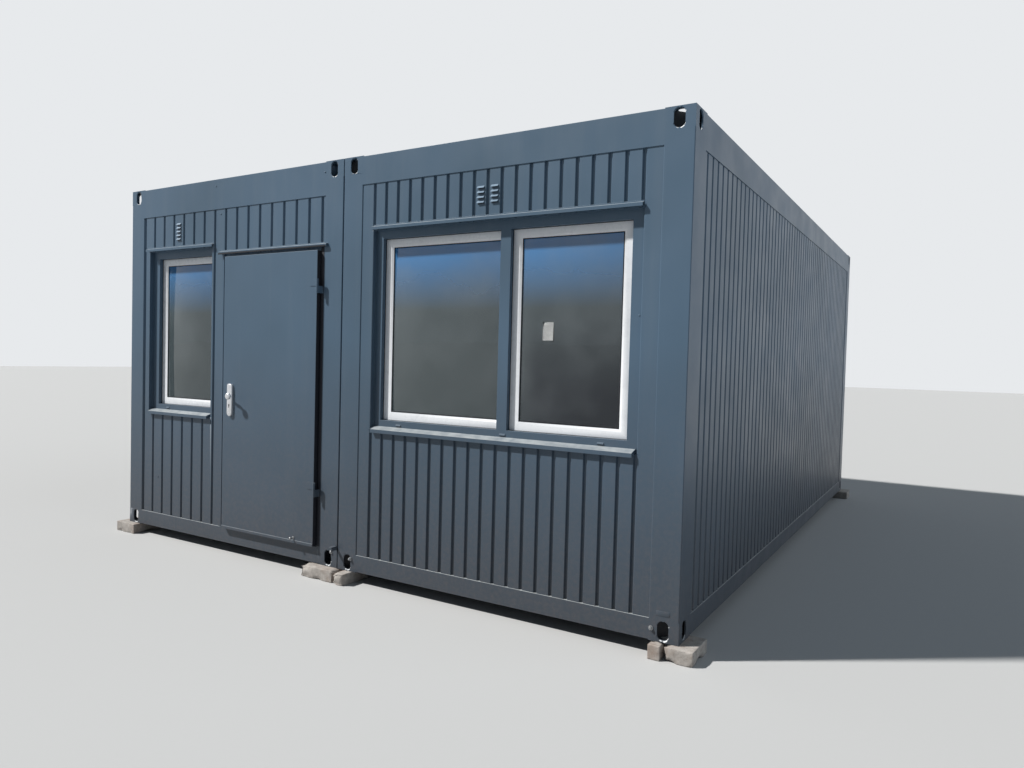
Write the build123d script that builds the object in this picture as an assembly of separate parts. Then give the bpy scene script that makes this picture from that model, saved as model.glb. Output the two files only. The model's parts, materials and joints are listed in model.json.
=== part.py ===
from build123d import *
import os

# A double site cabin: two steel container modules side by side, joined into one room.
# The origin is at the bottom centre. +Z is up and the front with the door faces -Y.
# Heights named "level" are measured from the underside of the modules.
# Depths are measured inwards from the outer face of a wall.

# Module envelope
MODULE_WIDTH = 2438.0
MODULE_LENGTH = 6058.0
MODULE_HEIGHT = 2820.0
MODULE_GAP = 8.0

# Steel frame
POST_WIDTH = 168.0
POST_LENGTH = 190.0
FITTING_HEIGHT = 118.0
FITTING_WALL = 8.0
FLOOR_RAIL_TOP = 120.0
ROOF_RAIL_DEPTH = 195.0
LEFT_FRONT_RAIL_DEPTH = 236.0
RAIL_SETBACK = 4.0

# Lifting holes in the corner fittings
HOLE_WIDTH = 64.0
HOLE_LENGTH = 104.0
HOLE_FROM_SIDE = 88.0
HOLE_FROM_END = 60.0

# Wall build-up
FACE_SETBACK = 5.0
FRAME_DEPTH = 128.0
LINING = 12.0
LINING_JOINT = 0.5
GROOVE_WIDTH = 26.0
GROOVE_FLOOR = 13.0
GROOVE_DEPTH = 12.0

# Groove spacing on each wall
SIDE_RIB_PITCH = 101.4
RIGHT_FRONT_GROOVES = 20
RIGHT_GROOVE_MARGIN = 6.0
RIGHT_PANEL_LAP = 10.0
LEFT_FRONT_GROOVES = 17
LEFT_GROOVE_MARGINS = (14.0, 31.0)

# Floor and roof build-up
FLOOR_PANEL_BOTTOM = 20.0
FLOOR_DECK = 25.0
CEILING_DROP = 135.0
CEILING_BOARD = 12.0
ROOF_SHEET_DROP = 35.0
ROOF_SEAM_HEIGHT = 14.0
ROOF_SEAM_WIDTH = 30.0
ROOF_SEAMS = 9

# Large window in the right module, measured from the posts and down from the roof rail
BIG_WINDOW_STRIP = 100.0
BIG_WINDOW_BOTTOM = 985.0
BIG_WINDOW_DROP = 309.0
BIG_WINDOW_STILES = (58.0, 74.0)
BIG_WINDOW_HEAD = 55.0
MULLION_FROM_LEFT = 980.0
MULLION_WIDTH = 72.0

# Small window in the left module, between strips of wall beside the post and the door
SMALL_WINDOW_FROM_POST = 79.0
SMALL_WINDOW_TO_DOOR = 133.0
SMALL_WINDOW_BOTTOM = 965.0
SMALL_WINDOW_DROP = 327.0
SMALL_WINDOW_STILES = (83.0, 45.0)
SMALL_WINDOW_HEAD = 59.0

# Window joinery
WINDOW_FRAME_DEPTH = 40.0
WINDOW_FOOT = 68.0
SASH_DEPTH = 70.0
SASH_THICKNESS = 32.0
SASH_RAIL = 60.0
SASH_STILE = 66.0
MEETING_STILE = 20.0
SMALL_SASH_RIGHT_STILE = 40.0
GLASS_DEPTH = 80.0
GLASS_THICKNESS = 14.0
FOLDED_SHEET = 3.0
SILL_INSET = 18.0
SILL_REACH = 18.0
SILL_RISE = 8.0
SILL_FALL = 18.0
SILL_LIP = 24.0
CANOPY_REACH = 20.0
CANOPY_FALL = 6.0
CANOPY_LIP = 20.0
CANOPY_UPSTAND = 8.0
CANOPY_HORN = 25.0
DOOR_CANOPY_HORN = 32.0
DOOR_CANOPY_OVER_POST = 32.0

# Door, hung on the side next to the joint between the modules
DOOR_HINGE_MARGIN = 36.0
DOOR_LEAF_WIDTH = 985.0
DOOR_LATCH_MARGIN = 65.0
DOOR_LATCH_GAP = 48.0
DOOR_LEAF_BOTTOM = 125.0
DOOR_OPENING_DROP = 394.0
DOOR_LEAF_DROP = 23.0
DOOR_PROUD = 32.0
DOOR_THICKNESS = 42.0
DOOR_OVERLAP = 40.0
DOOR_CLEARANCE = 5.0

# Door furniture
LOWER_HINGE_FROM_FOOT = 405.0
UPPER_HINGE_FROM_HEAD = 250.0
HINGE_LENGTH = 100.0
HINGE_RADIUS = 9.0
HINGE_PIN_RADIUS = 5.0
HINGE_FIT = 0.05
HINGE_PLATE = 3.0
HINGE_PLATE_REACH = 62.0
HINGE_FOOT_WIDTH = 12.0
HINGE_PLAY = 0.3
LOCK_BACKSET = 93.0
BACKPLATE_WIDTH = 52.0
BACKPLATE_LOW = 994.0
BACKPLATE_HIGH = 1239.0
OUTER_PLATE_THICKNESS = 18.0
INNER_PLATE_THICKNESS = 4.0
KNOB_LEVEL = 1150.0
KNOB_RADIUS = 25.0
KNOB_LENGTH = 20.0
KNOB_ROUNDING = 6.0
KNOB_NECK_RADIUS = 9.0
KNOB_COLLAR_RADIUS = 14.0
KNOB_COLLAR_LENGTH = 10.0
KNOB_SHIFT = 61.0
OUTER_KNOB_NECK = 48.0
INNER_KNOB_NECK = 14.0

# Louvred vents pressed into the ribs above the openings
VENT_WIDTH = 50.0
VENT_PITCH = 30.0
VENT_PLATE = 1.5
VENT_HOOD_HEIGHT = 16.0
VENT_HOOD_REACH = 7.0
RIGHT_VENT_RIBS = (8, 9)
RIGHT_VENT_RISE = 155.0
RIGHT_VENT_SLITS = 4
LEFT_VENT_RIBS = (3,)
LEFT_VENT_RISE = 144.0
LEFT_VENT_SLITS = 5

# Joint between the modules
SEAL_DEPTH = 15.0
SEAL_WIDTH = 30.0
JOINT_COVER_WIDTH = 120.0
JOINT_COVER_THICKNESS = 3.0
FLOOR_STRIP_WIDTH = 80.0

# Concrete blocks under the corner fittings
BLOCK_HEIGHT = 80.0
BLOCK_REACH = 95.0
BLOCK_UNDER_FITTING = 150.0
BLOCK_INWARDS = 200.0
BLOCK_OUTWARDS = 60.0
BLOCK_GAP = 15.0
CORNER_BLOCK_UNDER = 65.0
CORNER_BLOCK_OUTWARDS = 45.0
SMALL_BLOCK_WIDTH = 70.0
MIDDLE_BLOCK_WIDTH = 104.0
MIDDLE_BLOCK_OFFSET = 38.0
MIDDLE_BLOCK_INWARDS = 170.0
MIDDLE_SLAB_LEFT = -275.0
MIDDLE_SLAB_WIDTH = 300.0
MIDDLE_SLAB_OUTWARDS = 80.0

# Derived planes
OUTER_X = MODULE_GAP / 2 + MODULE_WIDTH
INNER_X = MODULE_GAP / 2
MODULE_CENTRE_X = (OUTER_X + INNER_X) / 2
FRONT_Y = -MODULE_LENGTH / 2
BACK_Y = MODULE_LENGTH / 2
BASE_Z = BLOCK_HEIGHT
WALL_THICKNESS = FRAME_DEPTH + LINING
FLOOR_LEVEL = FLOOR_RAIL_TOP + FLOOR_DECK
POST_INNER_X = OUTER_X - POST_WIDTH
MIDDLE_POST_X = INNER_X + POST_WIDTH
LEG_X = INNER_X + FRAME_DEPTH
SIDE_INNER_X = OUTER_X - FRAME_DEPTH
ROOM_SIDE_X = OUTER_X - WALL_THICKNESS

# Derived levels below the roof
ROOF_RAIL_BOTTOM = MODULE_HEIGHT - ROOF_RAIL_DEPTH
LEFT_FRONT_RAIL_BOTTOM = MODULE_HEIGHT - LEFT_FRONT_RAIL_DEPTH
CEILING_LEVEL = MODULE_HEIGHT - CEILING_DROP
ROOF_SHEET_LEVEL = MODULE_HEIGHT - ROOF_SHEET_DROP
BIG_WINDOW_TOP = ROOF_RAIL_BOTTOM - BIG_WINDOW_DROP
SMALL_WINDOW_TOP = ROOF_RAIL_BOTTOM - SMALL_WINDOW_DROP
DOOR_OPENING_TOP = ROOF_RAIL_BOTTOM - DOOR_OPENING_DROP
DOOR_LEAF_TOP = DOOR_OPENING_TOP - DOOR_LEAF_DROP
HINGE_LEVELS = (DOOR_LEAF_BOTTOM + LOWER_HINGE_FROM_FOOT, DOOR_LEAF_TOP - UPPER_HINGE_FROM_HEAD)
RIGHT_VENT_LEVEL = BIG_WINDOW_TOP + RIGHT_VENT_RISE
LEFT_VENT_LEVEL = SMALL_WINDOW_TOP + LEFT_VENT_RISE

# Derived window and door places
BIG_WINDOW_LEFT = MIDDLE_POST_X + BIG_WINDOW_STRIP
BIG_WINDOW_RIGHT = POST_INNER_X - BIG_WINDOW_STRIP
RIGHT_PANEL_LEFT = BIG_WINDOW_LEFT - RIGHT_PANEL_LAP
RIGHT_PANEL_RIGHT = BIG_WINDOW_RIGHT + RIGHT_PANEL_LAP
LEAF_RIGHT = -MIDDLE_POST_X - DOOR_HINGE_MARGIN
LEAF_LEFT = LEAF_RIGHT - DOOR_LEAF_WIDTH
DOOR_FRAME_LEFT = LEAF_LEFT - DOOR_LATCH_MARGIN
DOOR_FRAME_RIGHT = -MIDDLE_POST_X
SMALL_WINDOW_LEFT = -POST_INNER_X + SMALL_WINDOW_FROM_POST
SMALL_WINDOW_WIDTH = DOOR_FRAME_LEFT - SMALL_WINDOW_TO_DOOR - SMALL_WINDOW_LEFT
SMALL_WINDOW_RIGHT = SMALL_WINDOW_LEFT + SMALL_WINDOW_WIDTH
PASSAGE_LEFT = LEAF_LEFT + DOOR_OVERLAP
PASSAGE_RIGHT = LEAF_RIGHT - DOOR_OVERLAP
PASSAGE_TOP = DOOR_LEAF_TOP - DOOR_OVERLAP
LEAF_BACK_DEPTH = DOOR_THICKNESS - DOOR_PROUD
REBATE_DEPTH = LEAF_BACK_DEPTH + DOOR_CLEARANCE
HINGE_X = LEAF_RIGHT + HINGE_RADIUS + HINGE_PLATE
HINGE_Y = FRONT_Y - DOOR_PROUD - HINGE_RADIUS

MODULE_MIDDLE = Plane(origin=(MODULE_CENTRE_X, 0, 0), x_dir=(0, 1, 0), z_dir=(1, 0, 0))
ACROSS = Plane.YZ
ALONG = Plane.XZ

os.makedirs("parts", exist_ok=True)


def save(name, *solids):
    """Write the solids of one node."""
    found = [solid for shape in solids for solid in shape.solids()]
    shape = found[0] if len(found) == 1 else Compound(children=found)
    shape.label = name
    export_step(shape, f"parts/{name}.step")


def block(x_low, x_high, y_low, y_high, level_low, level_high):
    """A rectangular solid between plan coordinates and two levels."""
    size = (x_high - x_low, y_high - y_low, level_high - level_low)
    centre = ((x_low + x_high) / 2, (y_low + y_high) / 2, BASE_Z + (level_low + level_high) / 2)
    return Pos(*centre) * Box(*size)


def front_block(x_low, x_high, depth_low, depth_high, level_low, level_high):
    """A rectangular solid in the front wall, placed by its depth."""
    return block(x_low, x_high, FRONT_Y + depth_low, FRONT_Y + depth_high, level_low, level_high)


def plan_slab(points, level_low, level_high):
    """A solid raised from a closed outline in plan."""
    outline = make_face(Polyline(*points, close=True))
    return Pos(0, 0, BASE_Z + level_low) * extrude(outline, level_high - level_low, dir=(0, 0, 1))


def both_modules(shape):
    """The shape in the right module and its mirror image in the left one."""
    return [shape, mirror(shape, about=ACROSS)]


def both_ends(shape):
    """The shape at the front and its mirror image at the back."""
    return [shape, mirror(shape, about=ALONG)]


def four_corners(shape):
    """The shape at the four corners of the right module."""
    ends = both_ends(shape)
    return ends + [mirror(end, about=MODULE_MIDDLE) for end in ends]


def all_corners(shape):
    """The shape at all eight upright corners of the two modules."""
    return [copy for corner in four_corners(shape) for copy in both_modules(corner)]


def spaced(low, high, count):
    """Evenly spaced places from low to high."""
    step = (high - low) / (count - 1)
    return [low + step * index for index in range(count)]


def ribbed_outline(low, high, grooves, place):
    """Plan outline of a wall panel with trapezoidal grooves in its outer face."""
    points = [(low, FRAME_DEPTH), (low, FACE_SETBACK)]
    for groove in grooves:
        if low < groove - GROOVE_WIDTH / 2 and groove + GROOVE_WIDTH / 2 < high:
            points.append((groove - GROOVE_WIDTH / 2, FACE_SETBACK))
            points.append((groove - GROOVE_FLOOR / 2, FACE_SETBACK + GROOVE_DEPTH))
            points.append((groove + GROOVE_FLOOR / 2, FACE_SETBACK + GROOVE_DEPTH))
            points.append((groove + GROOVE_WIDTH / 2, FACE_SETBACK))
    points += [(high, FACE_SETBACK), (high, FRAME_DEPTH)]
    return [place(along, depth) for along, depth in points]


def at_front(along, depth):
    return (along, FRONT_Y + depth)


def at_back(along, depth):
    return (along, BACK_Y - depth)


def at_right(along, depth):
    return (OUTER_X - depth, along)


def front_panel(x_low, x_high, level_low, level_high, grooves):
    """A front wall panel with the grooves that lie within it."""
    return plan_slab(ribbed_outline(x_low, x_high, grooves, at_front), level_low, level_high)


# Groove places along each wall
right_grooves = spaced(
    BIG_WINDOW_LEFT + RIGHT_GROOVE_MARGIN,
    BIG_WINDOW_RIGHT - RIGHT_GROOVE_MARGIN,
    RIGHT_FRONT_GROOVES,
)
left_grooves = spaced(
    -POST_INNER_X + LEFT_GROOVE_MARGINS[0],
    -MIDDLE_POST_X - LEFT_GROOVE_MARGINS[1],
    LEFT_FRONT_GROOVES,
)


def even_grooves(low, high):
    """Grooves at the middle of equal bays of about the rib pitch."""
    bays = round((high - low) / SIDE_RIB_PITCH)
    pitch = (high - low) / bays
    return [low + pitch * (index + 0.5) for index in range(bays)]


# Corner fittings
def stadium_hole(plane, length):
    """A round-ended cutter centred on a plane."""
    return extrude(plane * SlotOverall(HOLE_LENGTH, HOLE_WIDTH, rotation=90), length, both=True)


def corner_fitting():
    """Hollow fitting at the right front bottom corner with a hole in each outer face."""
    x_low = OUTER_X - POST_WIDTH
    y_high = FRONT_Y + POST_LENGTH
    shell = block(x_low, OUTER_X, FRONT_Y, y_high, 0, FITTING_HEIGHT)
    shell -= block(
        x_low + FITTING_WALL,
        OUTER_X - FITTING_WALL,
        FRONT_Y + FITTING_WALL,
        y_high - FITTING_WALL,
        FITTING_WALL,
        FITTING_HEIGHT - FITTING_WALL,
    )
    hole_x = OUTER_X - HOLE_FROM_SIDE
    hole_y = FRONT_Y + HOLE_FROM_SIDE
    hole_z = BASE_Z + HOLE_FROM_END
    front = Plane(origin=(hole_x, FRONT_Y, hole_z), x_dir=(1, 0, 0), z_dir=(0, -1, 0))
    side = Plane(origin=(OUTER_X, hole_y, hole_z), x_dir=(0, 1, 0), z_dir=(1, 0, 0))
    under = Plane(origin=(hole_x, hole_y, BASE_Z), x_dir=(1, 0, 0), z_dir=(0, 0, 1))
    for plane in (front, side, under):
        shell -= stadium_hole(plane, FITTING_WALL * 1.5)
    return shell


bottom_fitting = corner_fitting()
top_fitting = mirror(bottom_fitting, about=Plane(origin=(0, 0, BASE_Z + MODULE_HEIGHT / 2), z_dir=(0, 0, 1)))
front_fittings = []
back_fittings = []
for fitting in (bottom_fitting, top_fitting):
    for corner in (fitting, mirror(fitting, about=MODULE_MIDDLE)):
        front_fittings += both_modules(corner)
        back_fittings += both_modules(mirror(corner, about=ALONG))
save("front_corner_fittings", *front_fittings)
save("back_corner_fittings", *back_fittings)

# Corner posts, angle shaped in plan
corner_post = plan_slab(
    [
        (OUTER_X, FRONT_Y),
        (OUTER_X, FRONT_Y + POST_LENGTH),
        (SIDE_INNER_X, FRONT_Y + POST_LENGTH),
        (SIDE_INNER_X, FRONT_Y + FRAME_DEPTH),
        (POST_INNER_X, FRONT_Y + FRAME_DEPTH),
        (POST_INNER_X, FRONT_Y),
    ],
    FITTING_HEIGHT,
    MODULE_HEIGHT - FITTING_HEIGHT,
)
save("corner_posts", *all_corners(corner_post))


# Floor and roof rails
def rails(level_low, level_high, left_front_low):
    """The rails between the corners of both modules; the front one of the left module may hang lower."""
    long_low = FRONT_Y + POST_LENGTH
    outer = block(SIDE_INNER_X, OUTER_X, long_low, -long_low, level_low, level_high)
    inner = mirror(outer, about=MODULE_MIDDLE)
    right_front = front_block(MIDDLE_POST_X, POST_INNER_X, 0, FRAME_DEPTH, level_low, level_high)
    left_front = front_block(-POST_INNER_X, -MIDDLE_POST_X, 0, FRAME_DEPTH, left_front_low, level_high)
    back = mirror(right_front, about=ALONG)
    paired = [copy for rail in (outer, inner, back) for copy in both_modules(rail)]
    return paired + [right_front, left_front]


save("floor_rails", *rails(RAIL_SETBACK, FLOOR_RAIL_TOP, RAIL_SETBACK))
save("roof_rails", *rails(ROOF_RAIL_BOTTOM, MODULE_HEIGHT - RAIL_SETBACK, LEFT_FRONT_RAIL_BOTTOM))


# Floor and roof panels between the rails
def infill(level_low, level_high):
    """A slab between the rails of the right module, notched round the corner fittings."""
    slab = block(LEG_X, SIDE_INNER_X, FRONT_Y + FRAME_DEPTH, BACK_Y - FRAME_DEPTH, level_low, level_high)
    notch = front_block(POST_INNER_X, SIDE_INNER_X, FRAME_DEPTH, POST_LENGTH, level_low, level_high)
    for corner in four_corners(notch):
        slab -= corner
    return slab


save("floor_panels", *both_modules(infill(FLOOR_PANEL_BOTTOM, FLOOR_RAIL_TOP)))

roof_panel = infill(CEILING_LEVEL + CEILING_BOARD, ROOF_SHEET_LEVEL)
roof_run = MODULE_LENGTH - 2 * POST_LENGTH
seam_pitch = roof_run / ROOF_SEAMS
for index in range(ROOF_SEAMS):
    seam_y = -roof_run / 2 + seam_pitch * (index + 0.5)
    roof_panel += block(
        LEG_X,
        SIDE_INNER_X,
        seam_y - ROOF_SEAM_WIDTH / 2,
        seam_y + ROOF_SEAM_WIDTH / 2,
        ROOF_SHEET_LEVEL,
        ROOF_SHEET_LEVEL + ROOF_SEAM_HEIGHT,
    )
save("roof_panels", *both_modules(roof_panel))

floor_deck = block(
    INNER_X, SIDE_INNER_X, FRONT_Y + FRAME_DEPTH, BACK_Y - FRAME_DEPTH, FLOOR_RAIL_TOP, FLOOR_LEVEL
)
leg_notch = front_block(INNER_X, LEG_X, FRAME_DEPTH, POST_LENGTH, FLOOR_RAIL_TOP, FLOOR_LEVEL)
for end in both_ends(leg_notch):
    floor_deck -= end
save("floor_decks", *both_modules(floor_deck))

ceiling = block(
    LEG_X,
    SIDE_INNER_X,
    FRONT_Y + FRAME_DEPTH,
    BACK_Y - FRAME_DEPTH,
    CEILING_LEVEL,
    CEILING_LEVEL + CEILING_BOARD,
)
save("ceilings", *both_modules(ceiling))

# Side and back walls
side_low = FRONT_Y + POST_LENGTH
side_wall = plan_slab(
    ribbed_outline(side_low, -side_low, even_grooves(side_low, -side_low), at_right),
    FLOOR_RAIL_TOP,
    ROOF_RAIL_BOTTOM,
)
save("right_side_wall", side_wall)
save("left_side_wall", mirror(side_wall, about=ACROSS))

back_wall = plan_slab(
    ribbed_outline(MIDDLE_POST_X, POST_INNER_X, even_grooves(MIDDLE_POST_X, POST_INNER_X), at_back),
    FLOOR_RAIL_TOP,
    ROOF_RAIL_BOTTOM,
)
save("right_back_wall", back_wall)
save("left_back_wall", mirror(back_wall, about=ACROSS))

side_lining = block(
    ROOM_SIDE_X, SIDE_INNER_X, FRONT_Y + FRAME_DEPTH, BACK_Y - FRAME_DEPTH, FLOOR_LEVEL, CEILING_LEVEL
)
save("side_linings", *both_modules(side_lining))

back_lining = block(
    LEG_X, ROOM_SIDE_X, BACK_Y - WALL_THICKNESS, BACK_Y - FRAME_DEPTH, FLOOR_LEVEL, CEILING_LEVEL
)
save("back_linings", *both_modules(back_lining))

# Front wall of the right module
beside_window = front_panel(MIDDLE_POST_X, RIGHT_PANEL_LEFT, FLOOR_RAIL_TOP, ROOF_RAIL_BOTTOM, [])
beside_window += front_panel(RIGHT_PANEL_LEFT, BIG_WINDOW_LEFT, BIG_WINDOW_BOTTOM, BIG_WINDOW_TOP, [])
save("right_wall_beside_window", beside_window, mirror(beside_window, about=MODULE_MIDDLE))
save(
    "right_wall_below_window",
    front_panel(RIGHT_PANEL_LEFT, RIGHT_PANEL_RIGHT, FLOOR_RAIL_TOP, BIG_WINDOW_BOTTOM, right_grooves),
)
save(
    "right_wall_above_window",
    front_panel(RIGHT_PANEL_LEFT, RIGHT_PANEL_RIGHT, BIG_WINDOW_TOP, ROOF_RAIL_BOTTOM, right_grooves),
)

# Front wall of the left module
save(
    "left_wall_below_window",
    front_panel(-POST_INNER_X, DOOR_FRAME_LEFT, FLOOR_RAIL_TOP, SMALL_WINDOW_BOTTOM, left_grooves),
)
save(
    "left_wall_beside_window",
    front_panel(-POST_INNER_X, SMALL_WINDOW_LEFT, SMALL_WINDOW_BOTTOM, SMALL_WINDOW_TOP, left_grooves),
    front_panel(SMALL_WINDOW_RIGHT, DOOR_FRAME_LEFT, SMALL_WINDOW_BOTTOM, SMALL_WINDOW_TOP, left_grooves),
)
save(
    "left_wall_above_window",
    front_panel(-POST_INNER_X, DOOR_FRAME_LEFT, SMALL_WINDOW_TOP, LEFT_FRONT_RAIL_BOTTOM, left_grooves),
)
save(
    "left_wall_above_door",
    front_panel(DOOR_FRAME_LEFT, DOOR_FRAME_RIGHT, DOOR_OPENING_TOP, LEFT_FRONT_RAIL_BOTTOM, left_grooves),
)


# Front wall linings
def lining_board(x_low, x_high, level_low, level_high):
    """One board of the front lining."""
    return front_block(x_low, x_high, FRAME_DEPTH, WALL_THICKNESS, level_low, level_high)


save(
    "right_front_lining",
    lining_board(LEG_X, ROOM_SIDE_X, FLOOR_LEVEL, BIG_WINDOW_BOTTOM - LINING_JOINT),
    lining_board(LEG_X, ROOM_SIDE_X, BIG_WINDOW_TOP + LINING_JOINT, CEILING_LEVEL),
    lining_board(LEG_X, BIG_WINDOW_LEFT, BIG_WINDOW_BOTTOM, BIG_WINDOW_TOP),
    lining_board(BIG_WINDOW_RIGHT, ROOM_SIDE_X, BIG_WINDOW_BOTTOM, BIG_WINDOW_TOP),
)
save(
    "left_front_lining",
    lining_board(-ROOM_SIDE_X, DOOR_FRAME_LEFT, FLOOR_LEVEL, SMALL_WINDOW_BOTTOM - LINING_JOINT),
    lining_board(-ROOM_SIDE_X, DOOR_FRAME_LEFT, SMALL_WINDOW_TOP + LINING_JOINT, CEILING_LEVEL),
    lining_board(-ROOM_SIDE_X, SMALL_WINDOW_LEFT, SMALL_WINDOW_BOTTOM, SMALL_WINDOW_TOP),
    lining_board(SMALL_WINDOW_RIGHT, DOOR_FRAME_LEFT, SMALL_WINDOW_BOTTOM, SMALL_WINDOW_TOP),
    lining_board(DOOR_FRAME_LEFT + LINING_JOINT, -LEG_X, DOOR_OPENING_TOP + LINING_JOINT, CEILING_LEVEL),
    lining_board(DOOR_FRAME_RIGHT, -LEG_X, FLOOR_LEVEL, DOOR_OPENING_TOP),
)


# Windows
def ring(x_low, x_high, level_low, level_high, stiles, foot, head, depth, thickness):
    """A rectangular frame in the front wall."""
    outer = front_block(x_low, x_high, depth, depth + thickness, level_low, level_high)
    return outer - front_block(
        x_low + stiles[0],
        x_high - stiles[1],
        depth,
        depth + thickness,
        level_low + foot,
        level_high - head,
    )


def window_frame(x_low, x_high, level_low, level_high, stiles, head):
    """The outer frame of a window, from its front plane to the inner lining."""
    depth = WINDOW_FRAME_DEPTH
    return ring(x_low, x_high, level_low, level_high, stiles, WINDOW_FOOT, head, depth, WALL_THICKNESS - depth)


def window_sash(x_low, x_high, level_low, level_high, stiles):
    """A sash that fills one light of the outer frame."""
    return ring(
        x_low, x_high, level_low, level_high, stiles, SASH_RAIL, SASH_RAIL, SASH_DEPTH, SASH_THICKNESS
    )


def window_pane(x_low, x_high, level_low, level_high, stiles):
    """The glass within one sash."""
    return front_block(
        x_low + stiles[0],
        x_high - stiles[1],
        GLASS_DEPTH,
        GLASS_DEPTH + GLASS_THICKNESS,
        level_low + SASH_RAIL,
        level_high - SASH_RAIL,
    )


def folded_strip(x_low, x_high, profile):
    """A folded sheet along the front wall, from its outline of depth and level."""
    points = [(x_low, FRONT_Y + depth, BASE_Z + level) for depth, level in profile]
    return extrude(make_face(Polyline(*points, close=True)), x_high - x_low, dir=(1, 0, 0))


def sill(x_low, x_high, opening_bottom):
    """A sloping sill with a drip lip, from the window frame to past the wall face."""
    back = WINDOW_FRAME_DEPTH
    nose = opening_bottom + SILL_RISE
    top = nose + SILL_FALL
    return folded_strip(
        x_low + SILL_INSET,
        x_high - SILL_INSET,
        [
            (back, top),
            (back, top - FOLDED_SHEET),
            (-SILL_REACH + FOLDED_SHEET, nose - FOLDED_SHEET),
            (-SILL_REACH + FOLDED_SHEET, nose - SILL_LIP),
            (-SILL_REACH, nose - SILL_LIP),
            (-SILL_REACH, nose),
        ],
    )


def canopy(x_low, x_high, level):
    """A drip canopy with an upstand against the wall face and a lip in front."""
    top = level + CANOPY_LIP + CANOPY_FALL
    nose = top - CANOPY_FALL
    return folded_strip(
        x_low,
        x_high,
        [
            (FACE_SETBACK, top + CANOPY_UPSTAND),
            (FACE_SETBACK, top - FOLDED_SHEET),
            (-CANOPY_REACH + FOLDED_SHEET, nose - FOLDED_SHEET),
            (-CANOPY_REACH + FOLDED_SHEET, level),
            (-CANOPY_REACH, level),
            (-CANOPY_REACH, nose),
            (FACE_SETBACK - FOLDED_SHEET, top),
            (FACE_SETBACK - FOLDED_SHEET, top + CANOPY_UPSTAND),
        ],
    )


big_frame = window_frame(
    BIG_WINDOW_LEFT,
    BIG_WINDOW_RIGHT,
    BIG_WINDOW_BOTTOM,
    BIG_WINDOW_TOP,
    BIG_WINDOW_STILES,
    BIG_WINDOW_HEAD,
)
MULLION_LEFT = BIG_WINDOW_LEFT + MULLION_FROM_LEFT
MULLION_RIGHT = MULLION_LEFT + MULLION_WIDTH
big_light_bottom = BIG_WINDOW_BOTTOM + WINDOW_FOOT
big_light_top = BIG_WINDOW_TOP - BIG_WINDOW_HEAD
big_frame += front_block(
    MULLION_LEFT,
    MULLION_RIGHT,
    WINDOW_FRAME_DEPTH,
    WALL_THICKNESS,
    big_light_bottom,
    big_light_top,
)
big_lights = [
    (
        BIG_WINDOW_LEFT + BIG_WINDOW_STILES[0],
        MULLION_LEFT,
        big_light_bottom,
        big_light_top,
        (SASH_STILE, MEETING_STILE),
    ),
    (
        MULLION_RIGHT,
        BIG_WINDOW_RIGHT - BIG_WINDOW_STILES[1],
        big_light_bottom,
        big_light_top,
        (SASH_STILE, SASH_STILE),
    ),
]
save("right_window_frame", big_frame)
save("right_window_sashes", *[window_sash(*light) for light in big_lights])
save("right_window_glass", *[window_pane(*light) for light in big_lights])

small_light = (
    SMALL_WINDOW_LEFT + SMALL_WINDOW_STILES[0],
    SMALL_WINDOW_RIGHT - SMALL_WINDOW_STILES[1],
    SMALL_WINDOW_BOTTOM + WINDOW_FOOT,
    SMALL_WINDOW_TOP - SMALL_WINDOW_HEAD,
    (SASH_STILE, SMALL_SASH_RIGHT_STILE),
)
save(
    "left_window_frame",
    window_frame(
        SMALL_WINDOW_LEFT,
        SMALL_WINDOW_RIGHT,
        SMALL_WINDOW_BOTTOM,
        SMALL_WINDOW_TOP,
        SMALL_WINDOW_STILES,
        SMALL_WINDOW_HEAD,
    ),
)
save("left_window_sash", window_sash(*small_light))
save("left_window_glass", window_pane(*small_light))
save(
    "window_sills",
    sill(BIG_WINDOW_LEFT, BIG_WINDOW_RIGHT, BIG_WINDOW_BOTTOM),
    sill(SMALL_WINDOW_LEFT, SMALL_WINDOW_RIGHT, SMALL_WINDOW_BOTTOM),
)
door_canopy_right = DOOR_FRAME_RIGHT + DOOR_CANOPY_OVER_POST
door_canopy = canopy(DOOR_FRAME_LEFT - DOOR_CANOPY_HORN, door_canopy_right, DOOR_OPENING_TOP)
door_canopy -= front_block(
    DOOR_FRAME_RIGHT, door_canopy_right, 0, WALL_THICKNESS, DOOR_OPENING_TOP, ROOF_RAIL_BOTTOM
)
save(
    "drip_canopies",
    canopy(BIG_WINDOW_LEFT, BIG_WINDOW_RIGHT, BIG_WINDOW_TOP),
    canopy(SMALL_WINDOW_LEFT - CANOPY_HORN, SMALL_WINDOW_RIGHT + CANOPY_HORN, SMALL_WINDOW_TOP),
    door_canopy,
)

# Door frame, stepped behind the leaf
door_frame = front_block(
    DOOR_FRAME_LEFT, DOOR_FRAME_RIGHT, REBATE_DEPTH, WALL_THICKNESS, FLOOR_RAIL_TOP, DOOR_OPENING_TOP
)
door_frame -= front_block(
    PASSAGE_LEFT, PASSAGE_RIGHT, 0, WALL_THICKNESS, FLOOR_RAIL_TOP, PASSAGE_TOP
)
for jamb_low, jamb_high in (
    (DOOR_FRAME_LEFT, LEAF_LEFT - DOOR_LATCH_GAP),
    (LEAF_RIGHT + DOOR_CLEARANCE, DOOR_FRAME_RIGHT),
):
    door_frame += front_block(jamb_low, jamb_high, 0, REBATE_DEPTH, FLOOR_RAIL_TOP, DOOR_OPENING_TOP)
door_frame -= front_block(
    DOOR_FRAME_LEFT, DOOR_FRAME_RIGHT, FRAME_DEPTH, WALL_THICKNESS, FLOOR_RAIL_TOP, FLOOR_LEVEL
)
save("door_frame", door_frame)

save(
    "door_threshold",
    front_block(PASSAGE_LEFT, PASSAGE_RIGHT, REBATE_DEPTH, FRAME_DEPTH, FLOOR_RAIL_TOP, FLOOR_LEVEL),
)

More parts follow.
